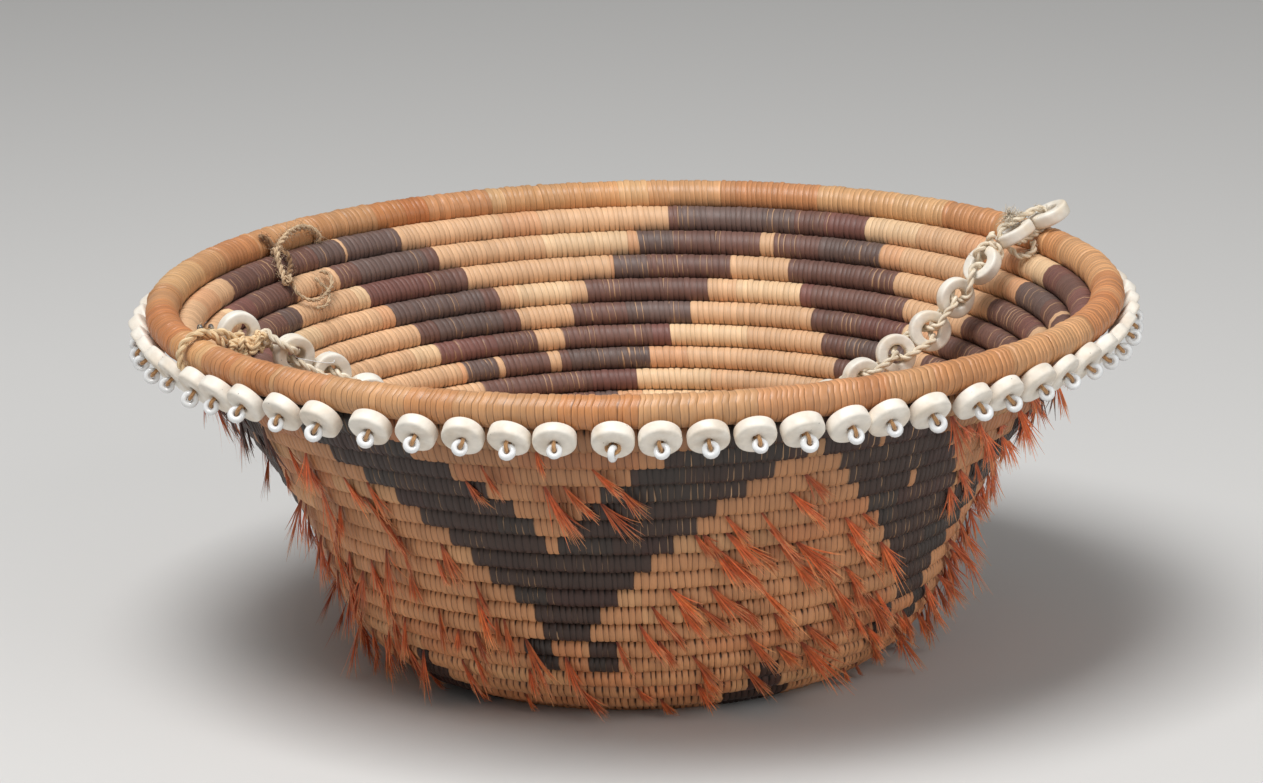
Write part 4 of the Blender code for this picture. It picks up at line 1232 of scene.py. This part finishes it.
def feather_tufts(roots, outwards, downs, lengths, widths, draw, barbs=BARBS, thick=BARB_HALF_WIDTH):
    """Tufts of barbs: each barb is a narrow ribbon from its tuft's root to its own tip.

    A barb's line is a quadratic curve from the root, over a knee that lies along the tuft, to a tip spread
    sideways. Its half width is thick sin(pi (0.16 + 0.80 t)) to the power 0.8, and it is turned at random
    about its own line.
    """
    count = len(roots)
    shape = (count, barbs)
    sideways = unit(np.cross(downs, outwards))
    spread = np.linspace(-1.0, 1.0, barbs)[None] + draw.normal(0.0, 0.13, shape)
    reach = lengths[:, None] * (1.0 - 0.22 * spread ** 2) * (1.0 + draw.normal(0.0, 0.10, shape))
    lift = draw.normal(0.10, 0.10, shape)

    def barb_spots(aside, down, out):
        """A point for each barb: so far to the side of its root, down the tuft, and out from the wall."""
        ways = zip((sideways, downs, outwards), (aside, down, out))
        return (roots[:, None] + sum(way[:, None] * part[..., None] for way, part in ways)).reshape(-1, 3)

    starts = barb_spots(spread * 0.00016, 0.0 * reach, 0.0 * reach)
    fan = 0.8 + 0.5 * draw.random(shape)
    tips = barb_spots(spread * widths[:, None] * fan, reach, lift * reach)
    knees = barb_spots(spread * widths[:, None] * 0.30, reach * 0.45, 0.00035 + 0.06 * reach)
    lines = bend(starts, knees, tips, BARB_STEPS)
    t = np.linspace(0.0, 1.0, BARB_STEPS)
    half = thick * np.sin(math.pi * (0.16 + 0.80 * t)) ** 0.8
    stands = np.repeat(outwards, barbs, axis=0)[:, None]
    edge = unit(np.cross(unit(np.gradient(lines, axis=1)), stands))
    edge = unit(edge + stands * draw.normal(0.0, 0.7, (count * barbs, 1, 1))) * half[None, :, None]
    points = np.stack((lines - edge, lines + edge), axis=2)
    points[..., 2] = np.maximum(points[..., 2], FEATHER_LOWEST)
    tone = np.repeat(0.75 + 0.45 * draw.random(count), barbs) * (0.75 + 0.5 * draw.random(count * barbs))
    green = tone * (0.86 + 0.28 * draw.random(count * barbs))
    tones = np.stack((tone, green, tone, np.ones_like(tone)), axis=1)
    return Grid(points, row_marks=t, tone=tones)


def outer_spot(coils, course, azimuth):
    """Points on the outer face of courses, and the wall's outward, downward and sideways directions there."""
    level = np.arange(1, len(coils) + 1)
    out, height, radius, lean = [np.interp(course, level, [getattr(coil, part) for coil in coils])
                                 for part in ("out", "height", "radius", "lean")]
    out = out + radius * 0.96 * np.cos(lean)
    height = height - radius * 0.96 * np.sin(lean)
    ray = around(azimuth, 1.0, 0.0)
    outwards = ray * np.cos(lean)[:, None] - UP * np.sin(lean)[:, None]
    downs = -ray * np.sin(lean)[:, None] - UP * np.cos(lean)[:, None]
    return around(azimuth, out, height), outwards, downs, np.cross(UP, ray)


def build_feathers(coils, red):
    """Red tufts caught under the stitches of the tan parts of the wall."""
    draw = np.random.default_rng(61)
    courses = []
    azimuths = []
    for course in range(2, 18):
        step = math.degrees(FEATHER_STEP / coils[course - 1].out)
        azimuth = np.arange(0.0, 360.0, step)
        azimuth = azimuth + draw.normal(0.0, step * 0.3, len(azimuth)) + step * 0.5 * (course % 2)
        share = np.interp(from_front(azimuth), *SHARE_BY_AZIMUTH) * (1.0 if course < 16 else 0.5)
        keep = ~dyed(course, azimuth) & (draw.random(len(azimuth)) < share)
        if course == 2:
            keep &= draw.random(len(azimuth)) < 0.4
        azimuths.append(azimuth[keep])
        courses.append(np.full(keep.sum(), course + 0.42))
    azimuth = np.concatenate(azimuths)
    course = np.concatenate(courses)
    count = len(azimuth)
    roots, outwards, downs, sideways = outer_spot(coils, course, azimuth)
    near = from_front(azimuth)
    slope = np.interp(near, *SLOPE_BY_AZIMUTH) + draw.normal(0.0, 0.17, count)
    stand = np.abs(draw.normal(0.16, 0.12, count)) * np.interp(np.abs(near), (45.0, 70.0), (1.0, 2.4))
    way = unit(downs + sideways * slope[:, None] + outwards * stand[:, None])
    mean, spread, least, most = FEATHER_LENGTH
    lengths = np.clip(draw.normal(mean, spread, count), least, most)
    lengths = lengths * np.interp(course, (15.0, 18.0), (1.0, 0.7))
    lengths = np.minimum(lengths, (roots[:, 2] - FEATHER_LOWEST) / np.maximum(-way[:, 2], 0.1))
    width, spread, least, most = FEATHER_WIDTH
    widths = np.clip(draw.normal(width, spread, count), least, most) * lengths / mean
    grid = feather_tufts(roots, outwards, way, lengths, widths, draw)
    add_piece("red_feather_tufts", [grid], red, weld=False)


def build_plumes(coils, dark):
    """A few dark plumes just under the ring of discs, at each side."""
    draw = np.random.default_rng(71)
    azimuth = np.concatenate([draw.normal(middle, spread, PLUMES_EACH) for middle, spread in PLUMES])
    count = len(azimuth)
    course = np.resize(PLUME_COURSES, count)
    roots, outwards, downs, sideways = outer_spot(coils, course, azimuth)
    way = downs + sideways * draw.normal(0.2, 0.2, (count, 1))
    way = unit(way + outwards * draw.uniform(0.1, 0.5, (count, 1)))
    lengths = draw.normal(*PLUME_LENGTH, count)
    widths = draw.uniform(*PLUME_WIDTH, count)
    grid = feather_tufts(roots, outwards, way, lengths, widths, draw, PLUME_BARBS, PLUME_HALF_WIDTH)
    add_piece("dark_plumes", [grid], dark, weld=False)


def put(name, data, spot, right, above, forward):
    """A camera or lamp at a spot, looking forward."""
    turned = np.eye(4)
    turned[:3] = np.stack((right, above, -forward, spot), axis=1)
    item = bpy.data.objects.new(name, data)
    item.matrix_world = turned.T.tolist()
    bpy.context.scene.collection.objects.link(item)
    return item


def build_camera():
    """A long lens at the photograph's angle: it looks along +Y, tipped down, with a slight roll."""
    tip = math.radians(CAMERA_TIP)
    roll = math.radians(CAMERA_ROLL)
    forward = np.array((0.0, math.cos(tip), -math.sin(tip)))
    level = np.array((1.0, 0.0, 0.0))
    upright = np.cross(level, forward)
    camera = bpy.data.cameras.new("camera")
    camera.lens = CAMERA_LENS
    camera.sensor_width = 36.0
    camera.sensor_fit = "HORIZONTAL"
    camera.clip_start = 0.01
    right = math.cos(roll) * level + math.sin(roll) * upright
    above = -math.sin(roll) * level + math.cos(roll) * upright
    bpy.context.scene.camera = put("camera", camera, CAMERA_SPOT, right, above, forward)


def build_studio():
    """A pale floor, an even sky and two soft square lamps."""
    corners = [(x * FLOOR_REACH, y * FLOOR_REACH, 0.0) for x, y in ((-1, -1), (1, -1), (1, 1), (-1, 1))]
    mesh = bpy.data.meshes.new("floor")
    mesh.from_pydata(corners, [], [(0, 1, 2, 3)])
    mesh.materials.append(Nodes("pale_floor").finish(srgb(208, 207, 205), 0.9, Specular_IOR_Level=0.1))
    floor = bpy.data.objects.new("floor", mesh)
    bpy.context.scene.collection.objects.link(floor)
    world = bpy.data.worlds.new("studio")
    world.use_nodes = True
    sky = world.node_tree.nodes["Background"]
    sky.inputs["Color"].default_value = (1.0, 1.0, 1.0, 1.0)
    sky.inputs["Strength"].default_value = SKY_STRENGTH
    bpy.context.scene.world = world
    for name, spot, target, size, power in LAMPS:
        lamp = bpy.data.lights.new(name, "AREA")
        lamp.size = size
        lamp.energy = power
        forward = unit(np.array(target) - np.array(spot))
        side = unit(np.cross(forward, UP + 0.001))
        put(name, lamp, spot, side, np.cross(side, forward), forward)
    bpy.context.scene.view_settings.view_transform = "Standard"


def main():
    """The camera, the studio, every finish and every piece."""
    build_camera()
    build_studio()
    stitches = stitch_finish("split_root_stitches", False)
    rim_stitches = stitch_finish("rim_stitches", True)
    ring_shell = shell_finish("weathered_clam_shell", srgb(240, 233, 221), srgb(226, 213, 195))
    string_shell = shell_finish("clam_shell", srgb(238, 232, 220), srgb(224, 208, 184))
    glass = glass_finish("white_glass", srgb(244, 244, 242), srgb(226, 228, 230))
    dark_glass = glass_finish("dark_glass", srgb(122, 114, 106), srgb(58, 54, 52))
    cord = cord_finish("two_ply_cord", srgb(242, 231, 210), srgb(206, 186, 156))
    thread = cord_finish("bead_thread", srgb(204, 158, 108), srgb(150, 104, 62))
    twine = cord_finish("old_twine", srgb(222, 196, 160), srgb(150, 118, 86))
    brown_twine = cord_finish("brown_twine", srgb(160, 124, 86), srgb(104, 72, 46))
    tie = cord_finish("tie_cord", srgb(246, 222, 180), srgb(198, 158, 112))
    red = feather_finish("red_feather", srgb(140, 58, 28), srgb(214, 104, 48), srgb(228, 154, 100))
    dark = feather_finish("dark_plume", srgb(52, 30, 24), srgb(80, 42, 32), srgb(98, 62, 48))

    coils = build_coils(stitches, rim_stitches)
    rim = coils[0]
    plane = StringPlane(rim)
    build_bead_ring(rim, ring_shell, glass, thread)
    build_string(plane, cord, string_shell, glass)
    build_left_tie(plane, rim, tie, string_shell, dark_glass, thread)
    build_right_tie(plane, rim, cord, string_shell)
    build_twine(coils, twine, brown_twine)
    build_feathers(coils, red)
    build_plumes(coils, dark)


main()
